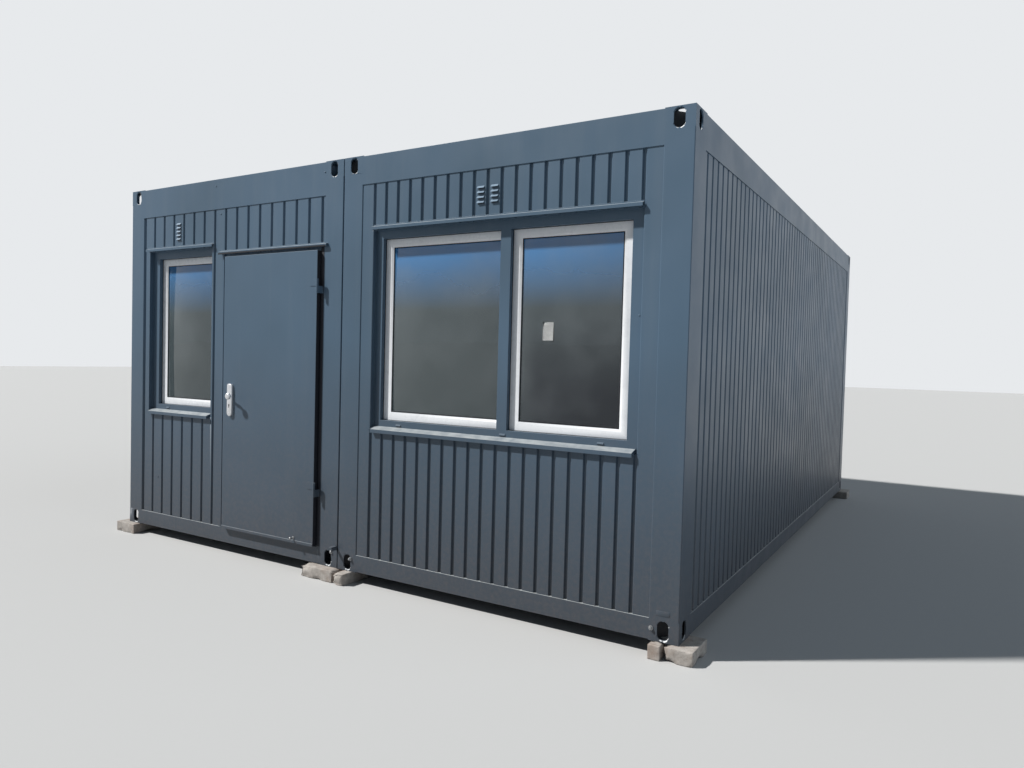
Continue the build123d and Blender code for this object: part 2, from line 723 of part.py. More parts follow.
# Door leaf
save(
    "door_leaf",
    front_block(LEAF_LEFT, LEAF_RIGHT, -DOOR_PROUD, LEAF_BACK_DEPTH, DOOR_LEAF_BOTTOM, DOOR_LEAF_TOP),
)

# Lock plates and knobs on both faces of the leaf
lock_x = LEAF_LEFT + LOCK_BACKSET
plate_left = lock_x - BACKPLATE_WIDTH / 2
plate_right = lock_x + BACKPLATE_WIDTH / 2
outer_plate_face = -DOOR_PROUD - OUTER_PLATE_THICKNESS
inner_plate_face = LEAF_BACK_DEPTH + INNER_PLATE_THICKNESS
save(
    "lock_plates",
    front_block(plate_left, plate_right, outer_plate_face, -DOOR_PROUD, BACKPLATE_LOW, BACKPLATE_HIGH),
    front_block(plate_left, plate_right, LEAF_BACK_DEPTH, inner_plate_face, BACKPLATE_LOW, BACKPLATE_HIGH),
)


def knob(plate_face, facing, shift, neck_length):
    """A round knob on a neck from a lock plate, facing outwards (-1) or into the room (+1)."""
    level = BASE_Z + KNOB_LEVEL
    seat = Plane(origin=(lock_x, FRONT_Y + plate_face, level), x_dir=(1, 0, 0), z_dir=(0, facing, 0))
    collar = extrude(seat * Circle(KNOB_COLLAR_RADIUS), KNOB_COLLAR_LENGTH)
    neck_foot = Vector(lock_x, FRONT_Y + plate_face + facing * KNOB_COLLAR_LENGTH, level)
    neck_way = Vector(shift, facing * (neck_length - KNOB_COLLAR_LENGTH), 0)
    neck = extrude(Plane(origin=neck_foot, z_dir=neck_way) * Circle(KNOB_NECK_RADIUS), neck_way.length)
    for end in (neck_foot, neck_foot + neck_way):
        neck += Pos(end) * Sphere(KNOB_NECK_RADIUS)
    head_seat = Plane(
        origin=(lock_x + shift, FRONT_Y + plate_face + facing * neck_length, level),
        x_dir=(1, 0, 0),
        z_dir=(0, facing, 0),
    )
    head = extrude(head_seat * Circle(KNOB_RADIUS), KNOB_LENGTH)
    head = fillet(head.edges().filter_by(GeomType.CIRCLE), KNOB_ROUNDING)
    return collar + neck + head


save(
    "door_knobs",
    knob(outer_plate_face, -1, KNOB_SHIFT, OUTER_KNOB_NECK),
    knob(inner_plate_face, 1, 0, INNER_KNOB_NECK),
)


# Hinges
def cylinder_up(radius, level_low, level_high):
    """A cylinder on the hinge axis."""
    foot = Plane(origin=(HINGE_X, HINGE_Y, BASE_Z + level_low))
    return extrude(foot * Circle(radius), level_high - level_low)


def frame_hinge(level):
    """Lower knuckle with the pin, on a bracket to the door frame."""
    low = level - HINGE_LENGTH / 2
    shape = cylinder_up(HINGE_RADIUS, low, level)
    arm_x = HINGE_X + HINGE_RADIUS - HINGE_PLATE
    arm_depth = HINGE_Y - FRONT_Y
    shape += front_block(arm_x, arm_x + HINGE_PLATE, arm_depth, 0, low, level)
    shape += front_block(arm_x, arm_x + HINGE_FOOT_WIDTH, -HINGE_PLATE, 0, low, level)
    shape += cylinder_up(HINGE_PIN_RADIUS, level, level + HINGE_LENGTH / 2)
    return shape


def leaf_hinge(level):
    """Upper knuckle on a plate fixed to the door leaf."""
    low = level + HINGE_PLAY
    high = level + HINGE_LENGTH / 2
    shape = cylinder_up(HINGE_RADIUS, low, high)
    shape += front_block(
        LEAF_RIGHT - HINGE_PLATE_REACH, HINGE_X, -DOOR_PROUD - HINGE_PLATE, -DOOR_PROUD, low, high
    )
    return shape - cylinder_up(HINGE_PIN_RADIUS + HINGE_FIT, low, high)


save("hinge_brackets", *[frame_hinge(level) for level in HINGE_LEVELS])
save("hinge_straps", *[leaf_hinge(level) for level in HINGE_LEVELS])


# Louvred vents
def vent(x_middle, level, slits):
    """A column of small hooded slits on one rib."""
    height = slits * VENT_PITCH
    low = level - height / 2
    x_low = x_middle - VENT_WIDTH / 2
    x_high = x_middle + VENT_WIDTH / 2
    shape = front_block(x_low, x_high, FACE_SETBACK - VENT_PLATE, FACE_SETBACK, low, low + height)
    plate = FACE_SETBACK - VENT_PLATE
    for index in range(slits):
        foot = low + VENT_PITCH * index + (VENT_PITCH - VENT_HOOD_HEIGHT) / 2
        shape += folded_strip(
            x_low,
            x_high,
            [(plate, foot), (plate, foot + VENT_HOOD_HEIGHT), (plate - VENT_HOOD_REACH, foot)],
        )
    return shape


def rib_middle(grooves, index):
    return (grooves[index] + grooves[index + 1]) / 2


right_vents = [
    vent(rib_middle(right_grooves, rib), RIGHT_VENT_LEVEL, RIGHT_VENT_SLITS) for rib in RIGHT_VENT_RIBS
]
left_vents = [
    vent(rib_middle(left_grooves, rib), LEFT_VENT_LEVEL, LEFT_VENT_SLITS) for rib in LEFT_VENT_RIBS
]
save("louvre_vents", *right_vents, *left_vents)

# Joint between the modules
seal_low = FRONT_Y + SEAL_DEPTH
seal_outer = block(-INNER_X, INNER_X, seal_low, -seal_low, SEAL_DEPTH, MODULE_HEIGHT - SEAL_DEPTH)
seal_hollow = block(
    -INNER_X,
    INNER_X,
    seal_low + SEAL_WIDTH,
    -seal_low - SEAL_WIDTH,
    SEAL_DEPTH + SEAL_WIDTH,
    MODULE_HEIGHT - SEAL_DEPTH - SEAL_WIDTH,
)
save("joint_seal", seal_outer - seal_hollow)

long_low = FRONT_Y + POST_LENGTH
save(
    "roof_joint_cover",
    block(
        -JOINT_COVER_WIDTH / 2,
        JOINT_COVER_WIDTH / 2,
        long_low,
        -long_low,
        MODULE_HEIGHT - RAIL_SETBACK,
        MODULE_HEIGHT - RAIL_SETBACK + JOINT_COVER_THICKNESS,
    ),
)
save(
    "joint_trims",
    block(
        -FLOOR_STRIP_WIDTH / 2,
        FLOOR_STRIP_WIDTH / 2,
        long_low,
        -long_low,
        FLOOR_LEVEL,
        FLOOR_LEVEL + JOINT_COVER_THICKNESS,
    ),
    block(-LEG_X, LEG_X, long_low, -long_low, ROOF_RAIL_BOTTOM - CEILING_BOARD, ROOF_RAIL_BOTTOM),
)


# Concrete blocks, uneven as they lie at the front and alike at the back
def concrete_block(x_low, width, outwards, inwards):
    """A block on the ground under the front wall."""
    return front_block(x_low, x_low + width, -outwards, inwards, -BLOCK_HEIGHT, 0)


corner_width = BLOCK_UNDER_FITTING + BLOCK_REACH
corner_x = OUTER_X - CORNER_BLOCK_UNDER
plain_corner = concrete_block(OUTER_X - BLOCK_UNDER_FITTING, corner_width, BLOCK_OUTWARDS, BLOCK_INWARDS)
middle_block = concrete_block(MIDDLE_BLOCK_OFFSET, MIDDLE_BLOCK_WIDTH, BLOCK_REACH, MIDDLE_BLOCK_INWARDS)
front_blocks = [
    concrete_block(corner_x, CORNER_BLOCK_UNDER + BLOCK_REACH, CORNER_BLOCK_OUTWARDS, BLOCK_INWARDS),
    concrete_block(
        corner_x - BLOCK_GAP - SMALL_BLOCK_WIDTH, SMALL_BLOCK_WIDTH, BLOCK_OUTWARDS, BLOCK_OUTWARDS
    ),
    middle_block,
    concrete_block(MIDDLE_SLAB_LEFT, MIDDLE_SLAB_WIDTH, MIDDLE_SLAB_OUTWARDS, MIDDLE_BLOCK_INWARDS),
    mirror(plain_corner, about=ACROSS),
]
back_blocks = [
    mirror(copy, about=ALONG) for shape in (plain_corner, middle_block) for copy in both_modules(shape)
]
save("support_blocks", *front_blocks, *back_blocks)
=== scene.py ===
import json
from math import cos, pi, radians, sin

import bmesh
import bpy
from mathutils import Matrix, Vector, noise
from mathutils.bvhtree import BVHTree


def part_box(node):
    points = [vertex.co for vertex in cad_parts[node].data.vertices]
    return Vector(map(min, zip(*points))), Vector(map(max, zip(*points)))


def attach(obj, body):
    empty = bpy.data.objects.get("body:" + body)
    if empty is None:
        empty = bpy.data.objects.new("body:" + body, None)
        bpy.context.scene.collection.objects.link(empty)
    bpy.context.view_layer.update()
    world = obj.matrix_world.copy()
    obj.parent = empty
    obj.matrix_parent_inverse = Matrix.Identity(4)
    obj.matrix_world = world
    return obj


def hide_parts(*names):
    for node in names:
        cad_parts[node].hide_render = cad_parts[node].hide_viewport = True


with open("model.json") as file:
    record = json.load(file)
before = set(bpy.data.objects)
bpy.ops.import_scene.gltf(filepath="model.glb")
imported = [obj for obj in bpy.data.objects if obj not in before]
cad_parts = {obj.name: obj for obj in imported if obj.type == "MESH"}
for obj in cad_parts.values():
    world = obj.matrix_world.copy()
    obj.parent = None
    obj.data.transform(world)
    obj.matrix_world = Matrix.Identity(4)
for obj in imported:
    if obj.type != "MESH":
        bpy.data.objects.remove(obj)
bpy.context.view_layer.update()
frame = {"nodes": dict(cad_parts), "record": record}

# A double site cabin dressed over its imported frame.
# Lengths are metres in the frame's axes: +Z up and the front faces -Y.
# Depths are measured inwards from the front face, levels upwards from the modules' underside.

CABIN = "cabin"
DOOR = "door"

# Planes of the two modules, read from the frame
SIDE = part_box("corner_posts")[1].x
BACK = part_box("corner_posts")[1].y
FRONT = -BACK
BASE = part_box("front_corner_fittings")[0].z
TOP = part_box("front_corner_fittings")[1].z
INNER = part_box("joint_seal")[1].x
WALL_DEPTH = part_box("right_wall_beside_window")[0].y - FRONT


# Colours
def colour(red, green, blue):
    """Linear colour from the eight-bit values of a display."""
    def linear(value):
        share = value / 255
        return share / 12.92 if share <= 0.04045 else ((share + 0.055) / 1.055) ** 2.4

    return (linear(red), linear(green), linear(blue), 1.0)


ANTHRACITE = colour(80, 102, 122)
ANTHRACITE_DEEP = colour(73, 94, 112)
# Darker grey for the painted reflection of the ground low on the walls
PAINTED_GROUND_REFLECTION = colour(62, 62, 64)
SOIL = colour(142, 118, 103)
DUST = colour(132, 138, 142)
# Pale dust that also serves as a painted sheen on the tops of ledges
PALE_DUST_AND_SHEEN = colour(186, 190, 190)
WHITE_PROFILE = colour(238, 240, 243)
WHITE_SOILED = colour(196, 199, 203)
RUBBER = colour(14, 17, 24)
RUBBER_WORN = colour(27, 31, 40)
GLASS = colour(80, 91, 94)
# Painted reflections in the panes: blue sky at their head, dark surroundings at their right foot
PAINTED_SKY_REFLECTION = colour(72, 138, 198)
PAINTED_DARK_REFLECTION = colour(18, 30, 42)
GLASS_FILM = colour(118, 126, 130)
CONCRETE = colour(178, 172, 166)
CONCRETE_DEEP = colour(146, 140, 134)
CONCRETE_PORE = colour(96, 90, 84)

# How paint and rubber take soil and light, and how high and how strongly the painted ground reflection
# darkens the paint
GROUND_REFLECTION_HEIGHT = 1.60
GROUND_REFLECTION_SHARE = 0.75
ROUGHNESS_SPREAD = 0.06
LEDGE_ROUGHNESS = 0.66
DULL_SPECULAR = 0.3

# Where the panes' painted sky reflection at the head and painted dark reflection at the foot fade, as
# shares of their height, and the foot's place in X
PAINTED_SKY_START = 0.62
DARK_REFLECTION_HEAD = 0.75
DARK_REFLECTION_FOOT = 0.15
DARK_REFLECTION_LEFT = 1.25
DARK_REFLECTION_RIGHT = 1.5


# Node materials
class Finish:
    """A node material under construction, with short calls for the nodes that it uses."""

    def __init__(self, name):
        self.material = bpy.data.materials.new(name)
        self.material.use_nodes = True
        self.tree = self.material.node_tree
        self.shader = self.tree.nodes["Principled BSDF"]
        self.place = self.tree.nodes.new("ShaderNodeTexCoord").outputs["Object"]
        self.normal = None

    def feed(self, target, value):
        """Links a socket to another node's output, or sets its value."""
        if isinstance(value, bpy.types.NodeSocket):
            self.tree.links.new(value, target)
        else:
            target.default_value = value

    def put(self, node, socket, value):
        self.feed(node.inputs[socket], value)

    def set(self, socket, value):
        self.put(self.shader, socket, value)

    def noise(self, scale, detail=4.0, roughness=0.55, stretch=None):
        """Noise in object coordinates, drawn out along an axis where stretch is small."""
        made = self.tree.nodes.new("ShaderNodeTexNoise")
        place = self.place
        if stretch:
            mapping = self.tree.nodes.new("ShaderNodeMapping")
            self.put(mapping, "Vector", self.place)
            self.put(mapping, "Scale", stretch)
            place = mapping.outputs["Vector"]
        self.put(made, "Vector", place)
        self.put(made, "Scale", scale)
        self.put(made, "Detail", detail)
        self.put(made, "Roughness", roughness)
        return made.outputs["Fac"]

    def cells(self, scale):
        """Distance to the nearest of scattered points."""
        made = self.tree.nodes.new("ShaderNodeTexVoronoi")
        self.put(made, "Vector", self.place)
        self.put(made, "Scale", scale)
        return made.outputs["Distance"]

    def ramp(self, value, low, high, from_value=0.0, to_value=1.0):
        """Maps a value from one range to another, held at the ends."""
        made = self.tree.nodes.new("ShaderNodeMapRange")
        self.put(made, "Value", value)
        self.put(made, "From Min", low)
        self.put(made, "From Max", high)
        self.put(made, "To Min", from_value)
        self.put(made, "To Max", to_value)
        return made.outputs["Result"]

    def maths(self, operation, first, second):
        made = self.tree.nodes.new("ShaderNodeMath")
        made.operation = operation
        self.put(made, 0, first)
        self.put(made, 1, second)
        return made.outputs["Value"]

    def mix(self, factor, first, second):
        """Mixes two colours."""
        made = self.tree.nodes.new("ShaderNodeMix")
        made.data_type = "RGBA"
        sockets = {socket.identifier: socket for socket in made.inputs}
        self.feed(sockets["Factor_Float"], factor)
        self.feed(sockets["A_Color"], first)
        self.feed(sockets["B_Color"], second)
        return {socket.identifier: socket for socket in made.outputs}["Result_Color"]

    def along(self, vector, name):
        made = self.tree.nodes.new("ShaderNodeSeparateXYZ")
        self.put(made, "Vector", vector)
        return made.outputs[name]

    def height(self):
        return self.along(self.place, "Z")

    def upward(self):
        """How far the surface faces the sky."""
        return self.along(self.tree.nodes.new("ShaderNodeNewGeometry").outputs["Normal"], "Z")

    def bump(self, height, strength, distance):
        made = self.tree.nodes.new("ShaderNodeBump")
        self.put(made, "Height", height)
        self.put(made, "Strength", strength)
        self.put(made, "Distance", distance)
        if self.normal:
            self.put(made, "Normal", self.normal)
        self.normal = made.outputs["Normal"]
        self.set("Normal", self.normal)


def painted_steel(name, light, deep, roughness=0.40, dirt=0.12, dust=0.35, dust_tone=DUST):
    """Satin paint with faint rain streaks, dust on ledges, soil splashes and a painted ground
    reflection that darkens it towards the ground.
    """
    made = Finish(name)
    patches = made.ramp(made.noise(0.8, 3.0), 0.35, 0.65)
    streaks = made.ramp(made.noise(9.0, 5.0, stretch=(1.0, 1.0, 0.05)), 0.5, 0.8, 0.0, 0.10)
    tone = made.mix(patches, light, deep)
    tone = made.mix(streaks, tone, DUST)
    splashes = made.ramp(made.noise(38.0, 4.0, 0.7), 0.42, 0.72, 0.0, dirt)
    near_ground = made.ramp(made.height(), BASE + GROUND_REFLECTION_HEIGHT, BASE)
    # Painted reflection of the ground: the paint turns darker grey towards the ground; the soil
    # splashes are its own
    tone = made.mix(made.maths("MULTIPLY", near_ground, GROUND_REFLECTION_SHARE), tone, PAINTED_GROUND_REFLECTION)
    tone = made.mix(made.maths("MULTIPLY", near_ground, splashes), tone, SOIL)
    # Dust on upward faces; a pale dust tone and a high share also paint the tops lighter, a painted
    # sheen
    ledge = made.ramp(made.upward(), 0.3, 0.75)
    settled = made.maths("MULTIPLY", ledge, made.ramp(made.noise(12.0, 4.0), 0.3, 0.7, 0.35, 0.8))
    tone = made.mix(made.maths("MULTIPLY", settled, dust), tone, dust_tone)
    made.set("Base Color", tone)
    smoothest, roughest = roughness - ROUGHNESS_SPREAD, roughness + ROUGHNESS_SPREAD
    satin = made.ramp(made.noise(4.0, 5.0), 0.3, 0.7, smoothest, roughest)
    dull_ledge = made.maths("MULTIPLY", ledge, LEDGE_ROUGHNESS)
    made.set("Roughness", made.maths("MAXIMUM", satin, dull_ledge))
    made.set("Specular IOR Level", DULL_SPECULAR)
    made.bump(made.noise(2.1, 2.0), 0.3, 0.003)
    made.bump(made.noise(380.0, 2.0), 0.08, 0.0004)
    return made.material


def white_plastic():
    """Smooth white profile with the faintest dirt."""
    made = Finish("white_profile_finish")
    dirt = made.ramp(made.noise(11.0, 6.0), 0.5, 0.8, 0.0, 0.3)
    made.set("Base Color", made.mix(dirt, WHITE_PROFILE, WHITE_SOILED))
    made.set("Roughness", made.ramp(made.noise(30.0), 0.3, 0.7, 0.24, 0.34))
    made.bump(made.noise(600.0, 2.0), 0.04, 0.0003)
    return made.material


def rubber():
    """Dull dark rubber, a little paler where it is worn."""
    made = Finish("gasket_finish")
    made.set("Base Color", made.mix(made.noise(90.0), RUBBER, RUBBER_WORN))
    made.set("Specular IOR Level", DULL_SPECULAR)
    made.set("Roughness", made.ramp(made.noise(200.0), 0.3, 0.7, 0.55, 0.8))
    made.bump(made.noise(700.0), 0.1, 0.0003)
    return made.material


def glazing():
    """Dark double glazing with a film of dust, a painted sky reflection at its head and a painted dark
    reflection at its right foot.
    """
    made = Finish("glass_finish")
    low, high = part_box("right_window_glass")
    tall = high.z - low.z
    # Painted reflections: bluer towards the head, darker low on the right
    sky = made.ramp(made.height(), low.z + PAINTED_SKY_START * tall, high.z)
    tone = made.mix(sky, GLASS, PAINTED_SKY_REFLECTION)
    right_part = made.ramp(made.along(made.place, "X"), DARK_REFLECTION_LEFT, DARK_REFLECTION_RIGHT)
    low_part = made.ramp(made.height(), low.z + DARK_REFLECTION_HEAD * tall, low.z + DARK_REFLECTION_FOOT * tall)
    tone = made.mix(made.maths("MULTIPLY", right_part, low_part), tone, PAINTED_DARK_REFLECTION)
    film = made.ramp(made.noise(2.4, 6.0), 0.4, 0.75)
    made.set("Base Color", made.mix(made.ramp(film, 0.0, 1.0, 0.0, 0.35), tone, GLASS_FILM))
    made.set("Roughness", made.ramp(made.noise(14.0, 5.0), 0.3, 0.8, 0.01, 0.07))
    made.set("Alpha", made.ramp(film, 0.0, 1.0, 0.66, 0.74))
    made.set("IOR", 1.7)
    made.bump(made.noise(0.9, 1.0), 0.15, 0.002)
    return made.material


def bare_metal(name, tone, tarnish, roughness=0.3, brush=None):
    """Metal with fine brushing or specks of tarnish."""
    made = Finish(name)
    marks = made.noise(260.0, 4.0, stretch=brush) if brush else made.noise(120.0, 5.0)
    made.set("Base Color", made.mix(made.ramp(marks, 0.38, 0.7), tone, tarnish))
    made.set("Roughness", made.ramp(marks, 0.3, 0.7, roughness, roughness + 0.16))
    made.set("Metallic", 0.7)
    made.bump(marks, 0.08, 0.0003)
    return made.material


def rough_concrete():
    """Weathered concrete with pores and soil on its faces."""
    made = Finish("concrete_finish")
    grain = made.noise(30.0, 8.0, 0.7)
    pores = made.cells(95.0)
    tone = made.mix(made.ramp(grain, 0.35, 0.65), CONCRETE, CONCRETE_DEEP)
    tone = made.mix(made.ramp(made.noise(7.0, 5.0), 0.5, 0.7, 0.0, 0.45), tone, SOIL)
    tone = made.mix(made.ramp(pores, 0.25, 0.05, 0.0, 0.5), tone, CONCRETE_PORE)
    made.set("Base Color", tone)
    made.set("Roughness", made.ramp(grain, 0.3, 0.7, 0.86, 0.97))
    made.bump(grain, 0.5, 0.004)
    made.bump(made.ramp(pores, 0.0, 0.3), 0.4, 0.002)
    return made.material


def flat_board(name, tone, deep, scale, roughness):
    """A flat faced board, sheet or foil."""
    made = Finish(name)
    made.set("Base Color", made.mix(made.ramp(made.noise(scale, 6.0), 0.35, 0.65), tone, deep))
    made.set("Roughness", made.ramp(made.noise(scale * 4), 0.3, 0.7, roughness, roughness + 0.12))
    made.bump(made.noise(160.0, 3.0), 0.08, 0.0006)
    return made.material


PAINT = painted_steel("anthracite_finish", ANTHRACITE, ANTHRACITE_DEEP)
# Sills, canopies and floor rails: pale dust with a painted sheen on their tops
LEDGE_DUST_AND_SHEEN = painted_steel("ledge_dust_and_sheen_finish", ANTHRACITE, ANTHRACITE_DEEP, dust=0.9, dust_tone=PALE_DUST_AND_SHEEN)
# Vent blades in a lighter painted highlight, their slits in a darker painted shade: lit and shaded
# copies of the anthracite
VENT_PAINTED_LIGHT = painted_steel("vent_painted_light_finish", colour(122, 144, 164), colour(112, 134, 154), dust=0.1)
VENT_SHADE = painted_steel("vent_shade_finish", colour(54, 68, 82), colour(46, 60, 74))
CAP_PAINT = painted_steel("cap_finish", ANTHRACITE, ANTHRACITE_DEEP, roughness=0.7, dust=0.1)
ROOF_PAINT = painted_steel(
    "roof_finish", colour(150, 154, 156), colour(132, 137, 140), roughness=0.70, dirt=0.9, dust=0.9
)
UNDERSIDE = painted_steel("underside_finish", colour(120, 124, 127), colour(104, 108, 112))
# Near-black paint: painted shade in slits, keyholes and the hollows of the fittings
PAINTED_SHADE = painted_steel("painted_shade_finish", colour(30, 36, 42), colour(22, 27, 32), roughness=0.6)
FASTENER = bare_metal("fastener_finish", colour(158, 162, 166), colour(112, 108, 104), roughness=0.34)
THRESHOLD = bare_metal("threshold_finish", colour(176, 178, 181), colour(130, 128, 125))
LOCK = bare_metal(
    "lock_finish", colour(226, 227, 229), colour(196, 197, 200), roughness=0.26, brush=(1, 1, 0.04)
)
# Pale skin of worn paint, also a painted highlight on the lifting-hole rims that face the key light
WORN_AND_LIT_STEEL = flat_board("worn_and_highlight_finish", colour(224, 227, 230), colour(196, 198, 200), 40.0, 0.5)
PAPER = flat_board("paper_finish", colour(238, 239, 238), colour(226, 227, 226), 60.0, 0.7)

finishes = {
    "anthracite_steel": PAINT,
    "roof_steel": ROOF_PAINT,
    "floor_cassette": UNDERSIDE,
    "floor_board": flat_board("floor_finish", colour(122, 120, 116), colour(108, 106, 102), 30.0, 0.35),
    "white_board": flat_board("lining_finish", colour(222, 222, 218), colour(214, 214, 211), 3.0, 0.45),
    "white_sash": white_plastic(),
    "window_glass": glazing(),
    "threshold_steel": THRESHOLD,
    "lock_steel": LOCK,
    "joint_rubber": rubber(),
    "trim_aluminium": flat_board("trim_finish", colour(206, 207, 206), colour(196, 197, 197), 5.0, 0.4),
    "concrete": rough_concrete(),
}

slots = {entry["node"]: entry["material_slot"] for entry in frame["record"]["subparts"]}
bodies = frame["record"]["behaviour"]["bodies"]
body_of_node = {name: body for body, names in bodies.items() for name in names}


def dress(thing, material):
    """Gives a mesh one material."""
    thing.data.materials.clear()
    thing.data.materials.append(material)


for node_name, node_object in frame["nodes"].items():
    dress(node_object, finishes[slots[node_name]])


# Pieces
ROUND_ENOUGH = radians(35)
BEVEL_STEPS = radians(50)
STILL_FLAT = radians(0.5)
WELDED_WITHIN = 1e-5


def stand(name, made, material, body=CABIN, replaced=(), weighted=False):
    """Makes a smoothly shaded object from a bmesh and lets it ride on a body."""
    mesh = bpy.data.meshes.new(name)
    made.to_mesh(mesh)
    made.free()
    mesh.polygons.foreach_set("use_smooth", [True] * len(mesh.polygons))
    mesh.set_sharp_from_angle(angle=BEVEL_STEPS if weighted else ROUND_ENOUGH)
    piece = bpy.data.objects.new(name, mesh)
    bpy.context.scene.collection.objects.link(piece)
    if weighted:
        piece.modifiers.new("normals", "WEIGHTED_NORMAL").keep_sharp = True
    dress(piece, material)
    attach(piece, body)
    if replaced:
        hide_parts(*replaced)
    return piece


def welded(node_name):
    """A closed copy of a node's mesh, without its stored normals."""
    source = frame["nodes"][node_name].data.copy()
    source.attributes.remove(source.attributes["custom_normal"])
    mesh = bmesh.new()
    mesh.from_mesh(source)
    bpy.data.meshes.remove(source)
    bmesh.ops.remove_doubles(mesh, verts=mesh.verts, dist=WELDED_WITHIN)
    return mesh


def flatten(mesh):
    """Makes faces that were cut up whole again."""
    bmesh.ops.dissolve_limit(mesh, angle_limit=STILL_FLAT, verts=mesh.verts, edges=mesh.edges)


def solids(node_name):
    """Lowest and highest corner of each solid of a node, from left to right."""
    mesh = welded(node_name)
    waiting = set(mesh.verts)
    boxes = []
    while waiting:
        reached = {waiting.pop()}
        group = set()
        while reached:
            group |= reached
            around = {edge.other_vert(vert) for vert in reached for edge in vert.link_edges}
            reached = around & waiting
            waiting -= reached
        low = Vector([min(vert.co[axis] for vert in group) for axis in range(3)])
        high = Vector([max(vert.co[axis] for vert in group) for axis in range(3)])
        boxes.append((low, high))
    mesh.free()
    return sorted(boxes, key=lambda box: (box[0].x, box[0].y, box[0].z))


# Steel pieces get rounded edges, except where they are welded flush to a neighbour
BENT_ROUNDING = 0.008
HOLE_ROUNDING = 0.0065
CORNER_ROUNDING = 0.006
EDGE_ROUNDING = 0.0025
SHEET_ROUNDING = 0.0008
NEAR = 0.0004
CREASE = radians(25)
HOLE_STRAIGHT = 0.040
STOP_LENGTH = 0.0008
IN_LINE = 0.999
CUT_WITHIN = 1e-6

# Paint worn off at the rims of the lifting holes, with a painted highlight, on the side that faces this
# way, towards the key light
WEAR = 0.0003
LIT_WORN_SIDE = Vector((-0.42, -0.42, 0.8))
LIT_WORN_SHARE = 0.62

rounding_of = {
    "corner_posts": BENT_ROUNDING,
    "floor_rails": BENT_ROUNDING,
    "right_wall_beside_window": BENT_ROUNDING,
    "window_sills": SHEET_ROUNDING,
    "drip_canopies": SHEET_ROUNDING,
    "hinge_brackets": SHEET_ROUNDING,
    "hinge_straps": SHEET_ROUNDING,
    "roof_joint_cover": SHEET_ROUNDING,
}
# Pieces whose tops get pale dust and a painted sheen
dust_and_sheen_nodes = ("floor_rails", "window_sills", "drip_canopies")
steel_nodes = [name for name, slot in slots.items() if slot in ("anthracite_steel", "roof_steel")]
steel_nodes.remove("louvre_vents")
surfaces = {}
planes = [set(), set(), set()]
for steel_name in steel_nodes:
    steel_copy = welded(steel_name)
    surfaces[steel_name] = (BVHTree.FromBMesh(steel_copy), *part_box(steel_name))
    steel_copy.free()
    for solid_box in solids(steel_name):
        for corner in solid_box:
            for axis in range(3):
                planes[axis].add(round(corner[axis], 4))


def meets_neighbour(point, own_name):
    """Whether another steel piece is flush with this point."""
    for other, (tree, low, high) in surfaces.items():
        inside = all(low[axis] - NEAR <= point[axis] <= high[axis] + NEAR for axis in range(3))
        if other != own_name and inside and tree.find_nearest(point, NEAR)[0] is not None:
            return True
    return False


def on_module_corner(point):
    """Whether a point lies on two outer planes of a module."""
    x, y, z = abs(point.x), abs(point.y), point.z
    offsets = (x - SIDE, x - INNER, y - BACK, z - BASE, z - TOP)
    return sum(abs(offset) < NEAR for offset in offsets) >= 2


def middle(edge):
    return (edge.verts[0].co + edge.verts[1].co) / 2


def on_outer_plane(point):
    """Whether a point lies on the outside of a module."""
    x, y, z = abs(point.x), abs(point.y), point.z
    return min(abs(x - SIDE), abs(y - BACK), abs(z - BASE), abs(z - TOP)) < NEAR


def lifting_hole_rim(mesh):
    """Outer rim edges of the lifting holes, found by their length or their slant."""
    rim = []
    for edge in mesh.edges:
        run = edge.verts[1].co - edge.verts[0].co
        slanting = sum(abs(part) > NEAR for part in run) > 1
        straight = abs(run.length - HOLE_STRAIGHT) < NEAR
        if edge.is_manifold and (slanting or straight) and on_outer_plane(middle(edge)):
            if edge.calc_face_angle() > CREASE:
                rim.append(edge)
    return rim


def direction_of(edge):
    return (edge.verts[1].co - edge.verts[0].co).normalized()


def stop_short(edges):
    """Splits each crease that runs on from the edges, so that their rounding ends close behind them."""
    chosen = set(edges)
    for vert in dict.fromkeys(vert for edge in edges for vert in edge.verts):
        directions = [direction_of(edge) for edge in vert.link_edges if edge in chosen]
        for edge in list(vert.link_edges):
            length = edge.calc_length()
            running_on = any(abs(way.dot(direction_of(edge))) > IN_LINE for way in directions)
            if edge not in chosen and running_on and length > 2 * STOP_LENGTH and edge.is_manifold:
                bmesh.utils.edge_split(edge, vert, STOP_LENGTH / length)


def round_off(mesh, edges, width, segments=3, clamp=False):
    """Rounds the edges, less widely beside small faces if clamped, and returns the new faces."""
    if not edges:
        return []
    rounded = bmesh.ops.bevel(
        mesh,
        geom=edges,
        offset=width,
        segments=segments,
        profile=0.5,
        affect="EDGES",
        clamp_overlap=clamp,
    )
    return rounded["faces"]


def wear_and_highlight(name, faces):
    """A thin bright skin on the faces, where the paint has worn off and as a painted highlight."""
    skin = bmesh.new()
    for face in faces:
        skin.faces.new([skin.verts.new(vert.co + face.normal * WEAR) for vert in face.verts])
    bmesh.ops.remove_doubles(skin, verts=skin.verts, dist=WEAR)
    bmesh.ops.solidify(skin, geom=skin.faces[:], thickness=WEAR)
    stand(name, skin, WORN_AND_LIT_STEEL)


def cut_at_planes(mesh, low, high):
    """Cuts a mesh where other steel starts or ends, so that each edge is either free or flush."""
    for axis in range(3):
        direction = Vector([float(axis == other) for other in range(3)])
        for value in sorted(planes[axis]):
            if low[axis] + NEAR < value < high[axis] - NEAR:
                bmesh.ops.bisect_plane(
                    mesh,
                    geom=mesh.verts[:] + mesh.edges[:] + mesh.faces[:],
                    dist=CUT_WITHIN,
                    plane_co=direction * value,
                    plane_no=direction,
                )


